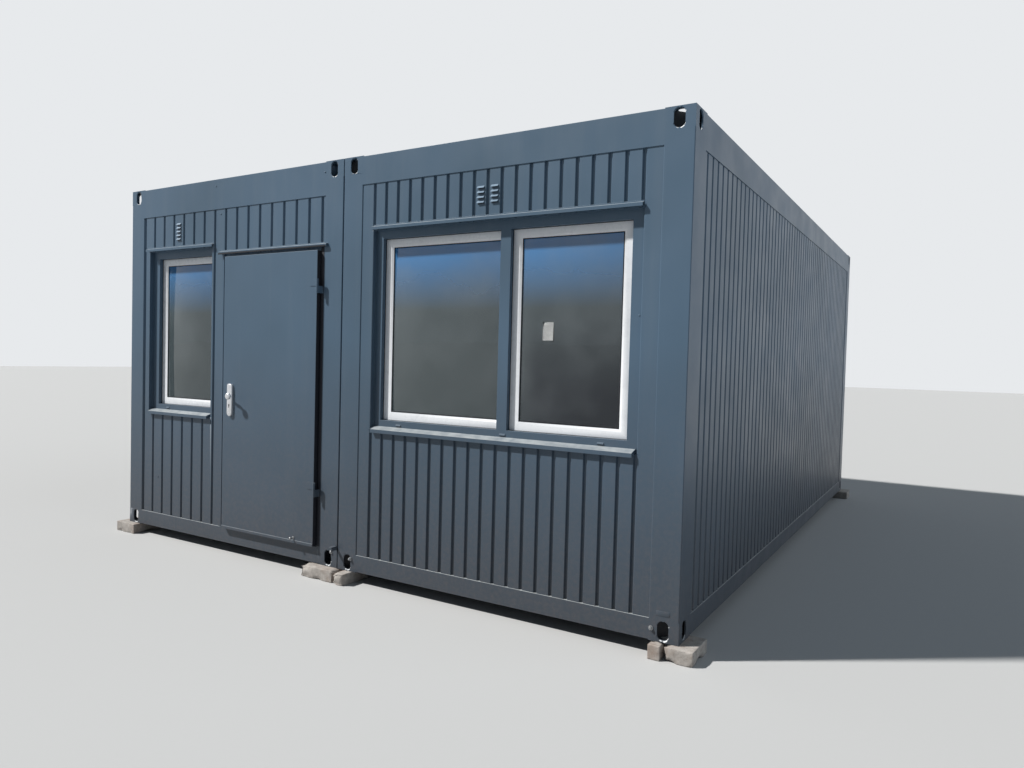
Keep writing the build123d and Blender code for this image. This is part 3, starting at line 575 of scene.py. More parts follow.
def free_edges(mesh, node_name):
    """Creases of a node that no neighbour is flush with."""
    return [
        edge
        for edge in mesh.edges
        if edge.is_manifold
        and edge.calc_face_angle() > CREASE
        and not meets_neighbour(middle(edge), node_name)
    ]


def soften(node_name):
    """Stands a copy with rounded free edges in a steel node's place."""
    mesh = welded(node_name)
    flatten(mesh)
    if "corner_fittings" in node_name:
        rims = round_off(mesh, lifting_hole_rim(mesh), HOLE_ROUNDING)
        mesh.normal_update()
        # Rim faces turned towards the key light get the pale skin, worn paint and painted highlight in
        # one
        worn = [face for face in rims if face.normal.dot(LIT_WORN_SIDE) > LIT_WORN_SHARE]
        wear_and_highlight(f"worn_highlit_rims_{node_name}", worn)
    cut_at_planes(mesh, *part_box(node_name))
    free = free_edges(mesh, node_name)
    corners = [edge for edge in free if on_module_corner(middle(edge))]
    others = [edge for edge in free if not on_module_corner(middle(edge))]
    stop_short(free)
    rounding = rounding_of.get(node_name, EDGE_ROUNDING)
    round_off(mesh, corners, max(rounding, CORNER_ROUNDING), clamp=True)
    round_off(mesh, [edge for edge in others if edge.is_valid], rounding, clamp=True)
    flatten(mesh)
    slot = slots[node_name]
    finish = LEDGE_DUST_AND_SHEEN if node_name in dust_and_sheen_nodes else finishes[slot]
    body = body_of_node[node_name]
    stand(f"painted_{node_name}", mesh, finish, body, [node_name], weighted=True)


for steel_name in steel_nodes:
    soften(steel_name)


# Shape building
def rounded_box(low, high, rounding):
    """A rectangular form with rounded edges."""
    form = bmesh.new()
    bmesh.ops.create_cube(form, size=1.0)
    bmesh.ops.scale(form, vec=high - low, verts=form.verts)
    bmesh.ops.translate(form, vec=(high + low) / 2, verts=form.verts)
    round_off(form, form.edges[:], rounding, segments=2)
    return form


class Shape:
    """A piece put together from simple rounded forms."""

    def __init__(self):
        self.mesh = bmesh.new()

    def absorb(self, other, place=None):
        """Adds another mesh, moved to its place."""
        if place is not None:
            bmesh.ops.transform(other, matrix=place, verts=other.verts)
        scratch = bpy.data.meshes.new("scratch")
        other.to_mesh(scratch)
        other.free()
        self.mesh.from_mesh(scratch)
        bpy.data.meshes.remove(scratch)

    def box(self, low, high, rounding, place=None):
        self.absorb(rounded_box(Vector(low), Vector(high), rounding), place)

    def turned(self, profile, place, sides=32):
        """A form of revolution about its own Z axis, from radius and height pairs."""
        form = bmesh.new()
        rings = []
        for radius, height in profile:
            turns = [2 * pi * k / sides for k in range(sides)] if radius > 0 else [0.0]
            rings.append([form.verts.new((radius * cos(t), radius * sin(t), height)) for t in turns])
        for lower, upper in zip(rings, rings[1:]):
            for k in range(sides):
                after = (k + 1) % sides
                corners = [lower[k % len(lower)], lower[after % len(lower)]]
                corners += [upper[after % len(upper)], upper[k % len(upper)]]
                form.faces.new(list(dict.fromkeys(corners)))
        for ring in (rings[0], rings[-1]):
            if len(ring) > 1:
                form.faces.new(ring)
        bmesh.ops.recalc_face_normals(form, faces=form.faces)
        self.absorb(form, place)

    def raised(self, outline, length, place, rounding=0.0):
        """A flat outline in XY raised along Z, its far rim rounded."""
        form = bmesh.new()
        face = form.faces.new([form.verts.new((x, y, 0)) for x, y in outline])
        grown = bmesh.ops.extrude_face_region(form, geom=[face])["geom"]
        moved = {item for item in grown if isinstance(item, bmesh.types.BMVert)}
        bmesh.ops.translate(form, vec=(0, 0, length), verts=list(moved))
        bmesh.ops.recalc_face_normals(form, faces=form.faces)
        if rounding:
            round_off(form, [edge for edge in form.edges if moved.issuperset(edge.verts)], rounding)
        self.absorb(form, place)

    def ring(self, low, high, profile, shares=(1.0, 1.0, 1.0)):
        """A mitred rectangular frame in the front wall, from inset and depth pairs.

        The shares scale the insets of the left stile, the right stile and the rails.
        """
        form = bmesh.new()
        loops = []
        for inset, depth in profile:
            left, right = low.x + inset * shares[0], high.x - inset * shares[1]
            foot, head = low.z + inset * shares[2], high.z - inset * shares[2]
            y = low.y + depth
            corners = ((left, y, foot), (right, y, foot), (right, y, head), (left, y, head))
            loops.append([form.verts.new(corner) for corner in corners])
        for first, second in zip(loops, loops[1:] + loops[:1]):
            for k in range(4):
                after = (k + 1) % 4
                form.faces.new((first[k], first[after], second[after], second[k]))
        bmesh.ops.recalc_face_normals(form, faces=form.faces)
        self.absorb(form)

    def stand(self, name, material, slot, body=CABIN, replaced=()):
        return stand(name, self.mesh, material, body, replaced)


UPWARDS = Vector((0, 0, 1))
OUTWARDS = Vector((0, -1, 0))

# Rounding of thin sheets and strips, and how far small pieces are sunk into what carries them
THIN_ROUNDING = 0.0004
SUNK = 0.001


def upright(origin, outwards=OUTWARDS):
    """A placing with local Y upwards and local Z along outwards."""
    across = UPWARDS.cross(outwards)
    rotation = Matrix((across, UPWARDS, outwards)).transposed().to_4x4()
    return Matrix.Translation(Vector(origin)) @ rotation


def sideways(x):
    """A placing with local X along the frame's Y, local Y upwards and local Z along its X."""
    return Matrix(((0, 0, 1, x), (1, 0, 0, 0), (0, 1, 0, 0), (0, 0, 0, 1)))


def front_point(x, depth, level):
    """A point at the front wall."""
    return Vector((x, FRONT + depth, BASE + level))


# Windows
STILE = 0.066
BEAD_START = 0.046
BEAD_END = 0.062
BEAD_FALL = 0.0075
SASH_THICKNESS = 0.032
GLASS_SHEET = 0.004
SPACER_HEIGHT = 0.009


def dress_window(side, sash_node, glass_node):
    """Sashes with sloping beads, gaskets, spacers and two sheets of glass."""
    sashes, seals, spacers, panes = Shape(), Shape(), Shape(), Shape()
    for (low, high), (glass_low, glass_high) in zip(solids(sash_node), solids(glass_node)):
        stiles = (glass_low.x - low.x, high.x - glass_high.x, glass_low.z - low.z)
        shares = [width / STILE for width in stiles]
        profile = [
            (0.0, 0.005),
            (0.0015, 0.0015),
            (0.005, 0.0),
            (BEAD_START, 0.0),
            (BEAD_START + 0.002, 0.001),
            (BEAD_END - 0.001, BEAD_FALL - 0.001),
            (BEAD_END, BEAD_FALL + 0.001),
            (BEAD_END, SASH_THICKNESS),
            (0.0, SASH_THICKNESS),
        ]
        sashes.ring(low, high, profile, shares)
        glass_seal = [
            (BEAD_END - 0.0005, BEAD_FALL),
            (BEAD_END + 0.002, BEAD_FALL - 0.0015),
            (STILE + 0.0015, BEAD_FALL - 0.001),
            (STILE + 0.0015, BEAD_FALL + 0.001),
            (BEAD_END - 0.0005, BEAD_FALL + 0.005),
        ]
        seals.ring(low, high, glass_seal, shares)
        seals.ring(low, high, [(-0.0005, -0.004), (0.0025, -0.002), (0.0035, 0.004), (-0.0005, 0.004)])
    for low, high in solids(glass_node):
        outer_back = low.y + GLASS_SHEET
        inner_front = high.y - GLASS_SHEET
        panes.box(low, (high.x, outer_back, high.z), THIN_ROUNDING)
        panes.box((low.x, inner_front, low.z), high, THIN_ROUNDING)
        gap = inner_front - outer_back
        bar = [(0.0, 0.0), (SPACER_HEIGHT, 0.0), (SPACER_HEIGHT, gap), (0.0, gap)]
        spacers.ring(Vector((low.x, outer_back, low.z)), high, bar)
    sashes.stand(f"{side}_sash_profiles", finishes["white_sash"], "white_sash", replaced=[sash_node])
    seals.stand(f"{side}_glazing_seals", finishes["joint_rubber"], "joint_rubber")
    spacers.stand(f"{side}_glass_spacers", FASTENER, "threshold_steel")
    panes.stand(f"{side}_panes", finishes["window_glass"], "window_glass", replaced=[glass_node])


dress_window("right", "right_window_sashes", "right_window_glass")
dress_window("left", "left_window_sash", "left_window_glass")

right_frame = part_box("right_window_frame")
left_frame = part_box("left_window_frame")

# Hooded drain caps on the feet of the window frames, over slits in near-black paint as painted shade
WEEP_WIDTH = 0.040
WEEP_HEIGHT = 0.011
WEEP_RISE = 0.036
weep_places = [(0.487, right_frame), (1.297, right_frame), (1.944, right_frame), (-1.986, left_frame)]
weep_hood = [(0, 0), (0, WEEP_HEIGHT), (-0.0045, WEEP_HEIGHT * 0.55), (-0.0055, 0)]
weep_caps = Shape()
weep_shade_slits = Shape()
for weep_x, weep_frame in weep_places:
    weep_low = Vector((weep_x - WEEP_WIDTH / 2, weep_frame[0].y, weep_frame[0].z + WEEP_RISE))
    slit_low = weep_low - Vector((0, 0.001, 0.004))
    slit_high = weep_low + Vector((WEEP_WIDTH, SUNK, 0.003))
    weep_shade_slits.box(slit_low, slit_high, THIN_ROUNDING)
    hood_outline = [(weep_low.y + reach, weep_low.z + rise) for reach, rise in weep_hood]
    weep_caps.raised(hood_outline, WEEP_WIDTH, sideways(weep_low.x))
weep_caps.stand("weep_caps", CAP_PAINT, "anthracite_steel")
weep_shade_slits.stand("weep_shade_slits", PAINTED_SHADE, "anthracite_steel")

# Sealant in the corners of the window reveals
SEALANT_REACH = 0.006
SEALANT_RISE = 0.026
SEALANT_ROUNDING = 0.002
sealant = Shape()
for frame_low, frame_high in (right_frame, left_frame):
    for bead_x in (frame_low.x, frame_high.x - SEALANT_REACH):
        bead_low = (bead_x, frame_low.y - SEALANT_REACH, frame_low.z + SEALANT_RISE)
        bead_high = (bead_x + SEALANT_REACH, frame_low.y, frame_high.z)
        sealant.box(bead_low, bead_high, SEALANT_ROUNDING)
sealant.stand("reveal_beads", PAINT, "anthracite_steel")

# End caps of the sills
END_CAP = 0.0025
END_CAP_PROUD = 0.0005
END_CAP_ROUNDING = 0.0006
END_CAP_RISE = 0.003
SILL_LIP = 0.024
SILL_DROP = 0.026
caps = Shape()
for sill_low, sill_high in solids("window_sills"):
    cap_outline = [
        (sill_low.y, sill_low.z),
        (FRONT + WALL_DEPTH, sill_high.z - SILL_DROP),
        (sill_high.y, sill_high.z - SILL_DROP),
        (sill_high.y, sill_high.z + END_CAP_RISE),
        (sill_low.y, sill_low.z + SILL_LIP + END_CAP_RISE),
    ]
    for cap_x in (sill_low.x - END_CAP_PROUD, sill_high.x - END_CAP + END_CAP_PROUD):
        caps.raised(cap_outline, END_CAP, sideways(cap_x), END_CAP_ROUNDING)
caps.stand("sill_end_caps", PAINT, "anthracite_steel")


# Louvred vents
VENT_PITCH = 0.030
FIRST_BLADE = 0.42
BLADE_REACH = 0.0115
BLADE_RISE = 0.013
BLADE_THICKNESS = 0.0015
SLIT_DROP = 0.009
SLIT_INSET = 0.003


def dress_vents():
    """Flat slanting blades, painted lighter as a painted highlight, above slits painted dark as shade.
    """
    blades, slits = Shape(), Shape()
    for low, high in solids("louvre_vents"):
        wall = high.y
        for index in range(round((high.z - low.z) / VENT_PITCH)):
            foot = low.z + VENT_PITCH * (index + FIRST_BLADE)
            outline = [
                (wall, foot + BLADE_RISE),
                (wall - BLADE_REACH, foot),
                (wall - BLADE_REACH, foot - BLADE_THICKNESS),
                (wall, foot + BLADE_RISE - 2 * BLADE_THICKNESS),
            ]
            blades.raised(outline, high.x - low.x, sideways(low.x))
            slit_low = (low.x + SLIT_INSET, wall - 0.0008, foot - SLIT_DROP)
            slit_high = (high.x - SLIT_INSET, wall + SUNK, foot + BLADE_RISE / 2)
            slits.box(slit_low, slit_high, THIN_ROUNDING)
    blades.stand("vent_blades", VENT_PAINTED_LIGHT, "anthracite_steel", replaced=["louvre_vents"])
    slits.stand("vent_shade_slits", VENT_SHADE, "anthracite_steel")


dress_vents()


# Door furniture
PLATE_CLIP = 0.3
PLATE_ROUNDING = 0.004
SCREW_INSET = 0.022
KNOB_RADIUS = 0.025
KNOB_DEPTH = 0.020
NECK_RADIUS = 0.0085
KEYHOLE_DROP = 0.071
leaf_low, leaf_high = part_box("door_leaf")


def plate_outline(width, height, steps=12):
    """Outline of an upright plate with a half-round foot and clipped upper corners."""
    radius = width / 2
    clip = radius * PLATE_CLIP
    foot = radius - height / 2
    turns = [pi + pi * k / steps for k in range(steps + 1)]
    points = [(radius * cos(turn), foot + radius * sin(turn)) for turn in turns]
    points += [(radius, height / 2 - clip), (radius - clip, height / 2)]
    return points + [(clip - radius, height / 2), (-radius, height / 2 - clip)]


def rod(name, route, radius):
    """A bent round rod through a route of points."""
    curve = bpy.data.curves.new(name, "CURVE")
    curve.dimensions = "3D"
    spline = curve.splines.new("NURBS")
    spline.points.add(len(route) - 1)
    for point, place in zip(spline.points, route):
        point.co = (*place, 1.0)
    spline.order_u = 3
    spline.use_endpoint_u = True
    curve.bevel_depth = radius
    curve.bevel_resolution = 5
    curve.use_fill_caps = True
    drawn = bpy.data.objects.new(name, curve)
    bpy.context.scene.collection.objects.link(drawn)
    made = bmesh.new()
    made.from_mesh(drawn.to_mesh())
    bpy.data.objects.remove(drawn)
    return made


def dress_lock_side(plates, knobs, holes, plate, knob, face, outwards):
    """One lock plate with its cranked knob, keyhole and screws."""
    plate_low, plate_high = plate
    knob_low, knob_high = knob
    x = (plate_low.x + plate_high.x) / 2
    knob_x = knob_high.x - KNOB_RADIUS
    knob_z = (knob_low.z + knob_high.z) / 2
    thick = plate_high.y - plate_low.y
    plate_seat = upright((x, face, (plate_low.z + plate_high.z) / 2), outwards)
    outline = plate_outline(plate_high.x - plate_low.x, plate_high.z - plate_low.z)
    plates.raised(outline, thick, plate_seat, min(PLATE_ROUNDING, thick * 0.4))
    for screw_z in (plate_low.z + SCREW_INSET, plate_high.z - SCREW_INSET):
        screw = [(0.0046, thick - 0.001), (0.0046, thick + 0.0004), (0.003, thick + 0.0014)]
        plates.turned(screw + [(0, thick + 0.0016)], upright((x, face, screw_z), outwards), 20)
    end = thick + knob_high.y - knob_low.y
    start = end - KNOB_DEPTH
    collar = [(0.014, -0.001), (0.014, 0.004), (0.012, 0.007), (0, 0.008)]
    knobs.turned([(r, thick + h) for r, h in collar], upright((x, face, knob_z), outwards), 32)
    bend = (start + thick) / 2
    crank = [(x, thick + 0.004), (x, bend - 0.004), (knob_x, bend + 0.006), (knob_x, start + 0.004)]
    route = [Vector((along, face, knob_z)) + outwards * reach for along, reach in crank]
    knobs.absorb(rod("knob_neck_route", route, NECK_RADIUS))
    knob_profile = [
        (KNOB_RADIUS * 0.6, start),
        (KNOB_RADIUS * 0.92, start + 0.002),
        (KNOB_RADIUS, start + 0.006),
        (KNOB_RADIUS, end - 0.008),
        (KNOB_RADIUS * 0.93, end - 0.0035),
        (KNOB_RADIUS * 0.78, end - 0.0008),
        (KNOB_RADIUS * 0.4, end),
        (0.0, end),
    ]
    knobs.turned(knob_profile, upright((knob_x, face, knob_z), outwards), 40)
    # The keyhole in near-black paint, a painted shade in its opening
    key_seat = upright((x, face, knob_z - KEYHOLE_DROP), outwards)
    key_top = thick + 0.0004
    holes.turned([(0.0075, thick - 0.003), (0.0075, key_top), (0.0, key_top)], key_seat, 24)
    holes.box((-0.004, -0.020, thick - 0.003), (0.004, -0.004, key_top), 0.0003, key_seat)


def dress_lock():
    """Bright lock plates on both faces of the leaf."""
    plates, knobs, holes = Shape(), Shape(), Shape()
    outer_plate, inner_plate = sorted(solids("lock_plates"), key=lambda box: box[0].y)
    outer_knob, inner_knob = sorted(solids("door_knobs"), key=lambda box: box[0].y)
    dress_lock_side(plates, knobs, holes, outer_plate, outer_knob, leaf_low.y, OUTWARDS)
    dress_lock_side(plates, knobs, holes, inner_plate, inner_knob, leaf_high.y, -OUTWARDS)
    plates.stand("lock_plate_castings", LOCK, "lock_steel", DOOR, ["lock_plates"])
    knobs.stand("door_knob_turnings", LOCK, "lock_steel", DOOR, ["door_knobs"])
    holes.stand("keyholes", PAINTED_SHADE, "joint_rubber", DOOR)


dress_lock()

# The seal behind the leaf, and the pin and the drip rail at its foot
leaf_seal = Shape()
leaf_rear = Vector((leaf_low.x, leaf_high.y, leaf_low.z))
leaf_seal.ring(leaf_rear, leaf_high, [(0.006, 0.0), (0.020, 0.0), (0.018, 0.0035), (0.008, 0.0035)])
leaf_seal.stand("door_leaf_seal", finishes["joint_rubber"], "joint_rubber", DOOR)
STOP_PIN_X = -0.403
STOP_PIN_LEVEL = 0.161
stop_pin = Shape()
pin_profile = [
    (0.011, 0),
    (0.011, 0.002),
    (0.0055, 0.004),
    (0.005, 0.022),
    (0.0085, 0.024),
    (0.0085, 0.031),
    (0.006, 0.033),
    (0, 0.033),
]
stop_pin.turned(pin_profile, upright((STOP_PIN_X, leaf_low.y, BASE + STOP_PIN_LEVEL)), 24)
stop_pin.stand("door_stop_pin", FASTENER, "threshold_steel", DOOR)
DRIP_RAIL_INSET = 0.002
drip_rail = Shape()
rail_profile = [(0.0, 0.0), (-0.004, 0.0), (-0.004, 0.018), (0.0, 0.021)]
drip_rail.raised(
    [(leaf_low.y + reach, leaf_low.z + rise) for reach, rise in rail_profile],
    leaf_high.x - leaf_low.x - 2 * DRIP_RAIL_INSET,
    sideways(leaf_low.x + DRIP_RAIL_INSET),
)
drip_rail.stand("door_drip_rail", PAINT, "anthracite_steel", DOOR)

# Dark rubber strips as painted shade at the hinge side of the leaf and on the lower part of the lip
# over the door
SHADE_STRIP_SHEET = 0.001
SHADE_STRIP_GAP = 0.006
EDGE_SHADE_INSET = 0.002
EDGE_SHADE_END = 0.003
LIP_SHADE_HEIGHT = 0.012
LIP_SHADE_LEFT = 0.002
LIP_SHADE_RIGHT = 0.004
edge_shade = Shape()
edge_shade.box(
    (leaf_high.x - SHADE_STRIP_SHEET, leaf_low.y + EDGE_SHADE_INSET, leaf_low.z + EDGE_SHADE_END),
    (leaf_high.x + SHADE_STRIP_SHEET, leaf_high.y, leaf_high.z - EDGE_SHADE_END),
    THIN_ROUNDING,
)
edge_shade.stand("door_edge_shade", finishes["joint_rubber"], "joint_rubber", DOOR)
door_frame_low, door_frame_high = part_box("door_frame")
lip_low, lip_high = solids("drip_canopies")[1]
frame_shades = Shape()
frame_shades.box(
    (leaf_high.x + SHADE_STRIP_GAP, door_frame_low.y - SHADE_STRIP_SHEET, leaf_low.z),
    (door_frame_high.x - SHADE_STRIP_SHEET, door_frame_low.y + SHADE_STRIP_SHEET, lip_low.z),
    THIN_ROUNDING,
)
frame_shades.box(
    (lip_low.x + LIP_SHADE_LEFT, lip_low.y - SHADE_STRIP_SHEET, lip_low.z - SHADE_STRIP_SHEET),
    (lip_high.x - LIP_SHADE_RIGHT, lip_low.y + SHADE_STRIP_SHEET, lip_low.z + LIP_SHADE_HEIGHT),
    THIN_ROUNDING,
)
frame_shades.stand("door_frame_shades", finishes["joint_rubber"], "joint_rubber")


# Bolts, studs, the blank plate and the bent tab on the front
def bolt(shape, centre, radius, height):
    """A low domed bolt head on a washer."""
    profile = [
        (radius * 1.5, 0),
        (radius * 1.5, height * 0.25),
        (radius, height * 0.3),
        (radius * 0.97, height * 0.75),
        (radius * 0.7, height * 0.95),
        (0, height),
    ]
    shape.turned(profile, upright(centre), 20)


bolt_places = [  # x, depth and level
    (-1.348, 0.0, 2.763),
    (-0.179, 0.0, 2.748),
    (-1.291, WALL_DEPTH, 2.546),
    (-2.057, WALL_DEPTH, 0.425),
    (2.165, WALL_DEPTH, 1.735),
]
fixings = Shape()
for bolt_place in bolt_places:
    bolt(fixings, front_point(*bolt_place), radius=0.005, height=0.004)
fixings.stand("panel_bolts", PAINT, "anthracite_steel")

STUD_RADIUS = 0.009
studs = Shape()
bolt(studs, front_point(2.288, 0.0, 0.068), STUD_RADIUS, height=0.016)
bolt(studs, front_point(0.124, 0.0, 0.087), STUD_RADIUS, height=0.020)
studs.stand("earthing_studs", FASTENER, "threshold_steel")

BLANK_LEFT = 2.314
BLANK_RIGHT = 2.391
BLANK_FOOT = 0.141
BLANK_HEAD = 0.168
BLANK_THICKNESS = 0.0015
BLANK_ROUNDING = 0.0006
BLANK_SCREW_INSET = 0.0035
blank = Shape()
blank_low = front_point(BLANK_LEFT, -BLANK_THICKNESS, BLANK_FOOT)
blank.box(blank_low, front_point(BLANK_RIGHT, SUNK, BLANK_HEAD), BLANK_ROUNDING)
screw_x, screw_level = BLANK_RIGHT - BLANK_SCREW_INSET, (BLANK_FOOT + BLANK_HEAD) / 2
bolt(blank, front_point(screw_x, -BLANK_THICKNESS, screw_level), radius=0.0018, height=0.0015)
blank.stand("blank_plate", PAINT, "anthracite_steel")

TAB_LEFT = -0.030
TAB_RIGHT = -0.004
TAB_FOOT = 0.128
TAB_HEAD = 0.155
TAB_REACH = 0.052
TAB_THICKNESS = 0.005
TAB_ROUNDING = 0.0015
tab = Shape()
tab_end = front_point(TAB_RIGHT, 2 * SUNK, TAB_HEAD)
tab.box(front_point(TAB_LEFT, -TAB_REACH, TAB_HEAD - TAB_THICKNESS), tab_end, TAB_ROUNDING)
tab.box(front_point(TAB_RIGHT - TAB_THICKNESS, -TAB_REACH, TAB_FOOT), tab_end, TAB_ROUNDING)
tab.stand("bent_tab", CAP_PAINT, "anthracite_steel")
tab_bolt = Shape()
bolt(tab_bolt, front_point(-0.058, 0.0, 0.106), STUD_RADIUS, height=0.012)
tab_bolt.stand("tab_bolt", FASTENER, "threshold_steel")


# Paper left on the large pane
PAPER_LEFT = 1.536
PAPER_RIGHT = 1.606
PAPER_FOOT = 1.598
PAPER_HEAD = 1.706
PAPER_COLUMNS = 6
PAPER_ROWS = 8
PAPER_GAP = 0.0006
PAPER_CURL = 0.004
PAPER_THICKNESS = 0.0003


def paper_sheet(pane_face):
    """A thin sheet on a pane's front, one lower corner lifting."""
    form = bmesh.new()
    grid = []
    for row in range(PAPER_ROWS + 1):
        line = []
        for column in range(PAPER_COLUMNS + 1):
            across, up = column / PAPER_COLUMNS, row / PAPER_ROWS
            lift = PAPER_GAP + PAPER_CURL * across ** 3 * (1 - up) ** 2
            x = PAPER_LEFT + (PAPER_RIGHT - PAPER_LEFT) * across
            z = BASE + PAPER_FOOT + (PAPER_HEAD - PAPER_FOOT) * up
            line.append(form.verts.new((x, pane_face - lift, z)))
        grid.append(line)
    for lower, upper in zip(grid, grid[1:]):
        for column in range(PAPER_COLUMNS):
            form.faces.new((lower[column], lower[column + 1], upper[column + 1], upper[column]))
    bmesh.ops.solidify(form, geom=form.faces[:], thickness=PAPER_THICKNESS)
    return form


stand("plain_paper_note", paper_sheet(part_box("right_window_glass")[0].y), PAPER)


# Webs within the hollow corner fittings, between the end face and the side face, in near-black paint as
# painted shade inside the hollows
WEB_INSET = 0.009
WEB_THICKNESS = 0.004
WEB_HALF_LENGTH = 0.085
WEB_TURN = radians(49)
WEB_ROUNDING = 0.0005
shade_webs = Shape()
for node_name in ("front_corner_fittings", "back_corner_fittings"):
    for fitting_low, fitting_high in solids(node_name):
        size = fitting_high - fitting_low
        centre = (fitting_low + fitting_high) / 2
        outer_x = 1 if abs(fitting_high.x) > abs(fitting_low.x) else -1
        outer_y = 1 if centre.y > 0 else -1
        turn = Matrix.Rotation(-outer_x * outer_y * WEB_TURN, 4, "Z")
        reach = Vector((WEB_HALF_LENGTH, WEB_THICKNESS / 2, size.z / 2 - WEB_INSET))
        shade_webs.box(-reach, reach, WEB_ROUNDING, Matrix.Translation(centre) @ turn)
shade_webs.stand("fitting_shade_webs", PAINTED_SHADE, "anthracite_steel")


# Rough concrete blocks
BLOCK_ROUNDING = 0.005
BLOCK_CELL = 0.010
BLOCK_CUTS = 5
BLOCK_SINK = 0.0015
BLOCK_WAVES = 0.0012
BLOCK_GRAIN = 0.0008
CHIP_REACH = 0.03
CHIP_DEPTH = 0.05
CHIP_START = 0.05
NEXT_BLOCK = 3.7


def rough_block(low, high, seed):
    """A block with worn, chipped edges and an uneven face."""
    form = rounded_box(low, high, BLOCK_ROUNDING)
    for _ in range(BLOCK_CUTS):
        long_edges = [edge for edge in form.edges if edge.calc_length() > BLOCK_CELL]
        bmesh.ops.subdivide_edges(form, edges=long_edges, cuts=1, use_grid_fill=True)
    bmesh.ops.triangulate(form, faces=form.faces)
    form.normal_update()
    moves = []
    for vert in form.verts:
        spot = vert.co + Vector((seed, 0, 0))
        waves = BLOCK_WAVES * noise.noise(spot * 22)
        grain = BLOCK_GRAIN * noise.noise(spot * 75)
        nearest = sorted(
            min(abs(vert.co[axis] - low[axis]), abs(vert.co[axis] - high[axis])) for axis in range(3)
        )
        edge_share = max(0.0, 1 - (nearest[0] + nearest[1]) / CHIP_REACH)
        chip = max(0.0, noise.noise(spot * 9) - CHIP_START) * CHIP_DEPTH * edge_share
        side_share = 1 - abs(vert.normal.z) ** 4
        moves.append((vert, vert.normal * -((BLOCK_SINK + waves + grain) * side_share + chip)))
    for vert, move in moves:
        vert.co += move
    return form


blocks = Shape()
for block_index, (block_low, block_high) in enumerate(solids("support_blocks")):
    blocks.absorb(rough_block(block_low, block_high, block_index * NEXT_BLOCK))
blocks.stand("rough_support_blocks", finishes["concrete"], "concrete", replaced=["support_blocks"])

# Rivets of the roof joint cover
RIVET_COUNT = 24
RIVET_INSET = 0.014
cover_low, cover_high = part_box("roof_joint_cover")
rivets = Shape()
rivet_profile = [(0.006, 0), (0.0055, 0.0015), (0.003, 0.0026), (0, 0.003)]
for rivet_index in range(RIVET_COUNT):
    rivet_y = cover_low.y + (cover_high.y - cover_low.y) * (rivet_index + 0.5) / RIVET_COUNT
    for rivet_x in (cover_low.x + RIVET_INSET, cover_high.x - RIVET_INSET):
        rivets.turned(rivet_profile, Matrix.Translation((rivet_x, rivet_y, cover_high.z)), 16)
rivets.stand("cover_rivets", FASTENER, "threshold_steel")


# Floor and light
def seen_directly(tree):
    """Whether a ray comes from the camera, also by way of a mirror or glass."""
    path = tree.nodes.new("ShaderNodeLightPath")
    direct = path.outputs["Is Camera Ray"]
    for ray_kind in ("Is Glossy Ray", "Is Transmission Ray"):
        either = tree.nodes.new("ShaderNodeMath")
        either.operation = "MAXIMUM"
        tree.links.new(direct, either.inputs[0])
        tree.links.new(path.outputs[ray_kind], either.inputs[1])
        direct = either.outputs["Value"]
    return direct


# A pale floor that throws little light back at the walls
FLOOR_REACH = 60.0
FLOOR_SEEN = (0.48, 0.48, 0.476, 1.0)
FLOOR_THROWN = (0.32, 0.32, 0.32, 1.0)
floor_mesh = bpy.data.meshes.new("studio_floor")
floor_corners = [(-1, -1), (1, -1), (1, 1), (-1, 1)]
floor_points = [(x * FLOOR_REACH, y * FLOOR_REACH, 0) for x, y in floor_corners]
floor_mesh.from_pydata(floor_points, [], [(0, 1, 2, 3)])
floor = bpy.data.objects.new("studio_floor", floor_mesh)
bpy.context.scene.collection.objects.link(floor)
floor_finish = Finish("studio_floor_finish")
floor_tone = floor_finish.mix(seen_directly(floor_finish.tree), FLOOR_THROWN, FLOOR_SEEN)
floor_finish.set("Base Color", floor_tone)
floor_finish.set("Roughness", 0.9)
dress(floor, floor_finish.material)


def add_sun(name, direction, strength, spread, tint):
    """A soft distant lamp shining along a direction, its spread in degrees."""
    lamp = bpy.data.lights.new(name, "SUN")
    lamp.energy = strength
    lamp.angle = radians(spread)
    lamp.color = tint
    holder = bpy.data.objects.new(name, lamp)
    holder.rotation_euler = Vector(direction).to_track_quat("-Z", "Y").to_euler()
    bpy.context.scene.collection.objects.link(holder)


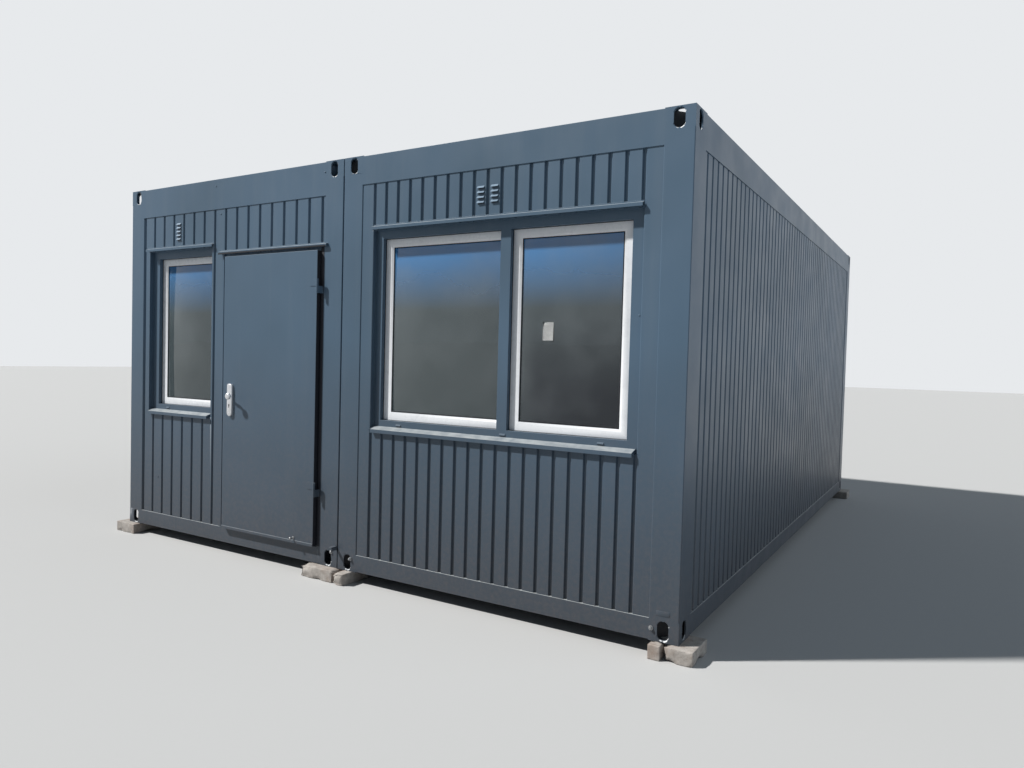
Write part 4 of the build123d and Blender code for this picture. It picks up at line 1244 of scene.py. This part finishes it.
add_sun("key_light", direction=(1.4, 1.0, -1.78), strength=5.0, spread=2.5, tint=(1.0, 0.985, 0.96))
add_sun("fill_light", direction=(-1.0, -0.25, -0.45), strength=0.7, spread=60.0, tint=(0.80, 0.90, 1.0))

# The world seen behind the cabin, and the dimmer and bluer one that lights it
BACKDROP = (0.80, 0.82, 0.84, 1.0)
SKY_LIGHT = (0.60, 0.80, 1.0, 1.0)
SKY_STRENGTH = 0.13
world = bpy.data.worlds.new("studio")
world.use_nodes = True
bpy.context.scene.world = world
world_nodes = world.node_tree.nodes
world_links = world.node_tree.links
ambient = world_nodes["Background"]
ambient.inputs["Color"].default_value = SKY_LIGHT
ambient.inputs["Strength"].default_value = SKY_STRENGTH
backdrop = world_nodes.new("ShaderNodeBackground")
backdrop.inputs["Color"].default_value = BACKDROP
world_mix = world_nodes.new("ShaderNodeMixShader")
world_links.new(seen_directly(world.node_tree), world_mix.inputs["Fac"])
world_links.new(ambient.outputs["Background"], world_mix.inputs[1])
world_links.new(backdrop.outputs["Background"], world_mix.inputs[2])
world_links.new(world_mix.outputs["Shader"], world_nodes["World Output"].inputs["Surface"])

# Camera at the photograph's standpoint, its lens and sensor in millimetres
EYE = Vector((3.6614, -6.7949, 1.5628))
GAZE = Vector((-0.51768, 0.85493, -0.03325)).normalized()
ROLL = radians(1.4995)
LENS = 26.15
SENSOR_WIDTH = 36.0
FARTHEST_SEEN = 200.0
level_right = GAZE.cross(UPWARDS).normalized()
level_up = level_right.cross(GAZE)
camera_right = level_right * cos(ROLL) + level_up * sin(ROLL)
camera_up = level_up * cos(ROLL) - level_right * sin(ROLL)
camera_data = bpy.data.cameras.new("camera")
camera_data.lens = LENS
camera_data.sensor_width = SENSOR_WIDTH
camera_data.clip_end = FARTHEST_SEEN
camera = bpy.data.objects.new("camera", camera_data)
camera_turn = Matrix((camera_right, camera_up, -GAZE)).transposed().to_4x4()
camera.matrix_world = Matrix.Translation(EYE) @ camera_turn
bpy.context.scene.collection.objects.link(camera)
bpy.context.scene.camera = camera
bpy.context.scene.view_settings.view_transform = "Standard"
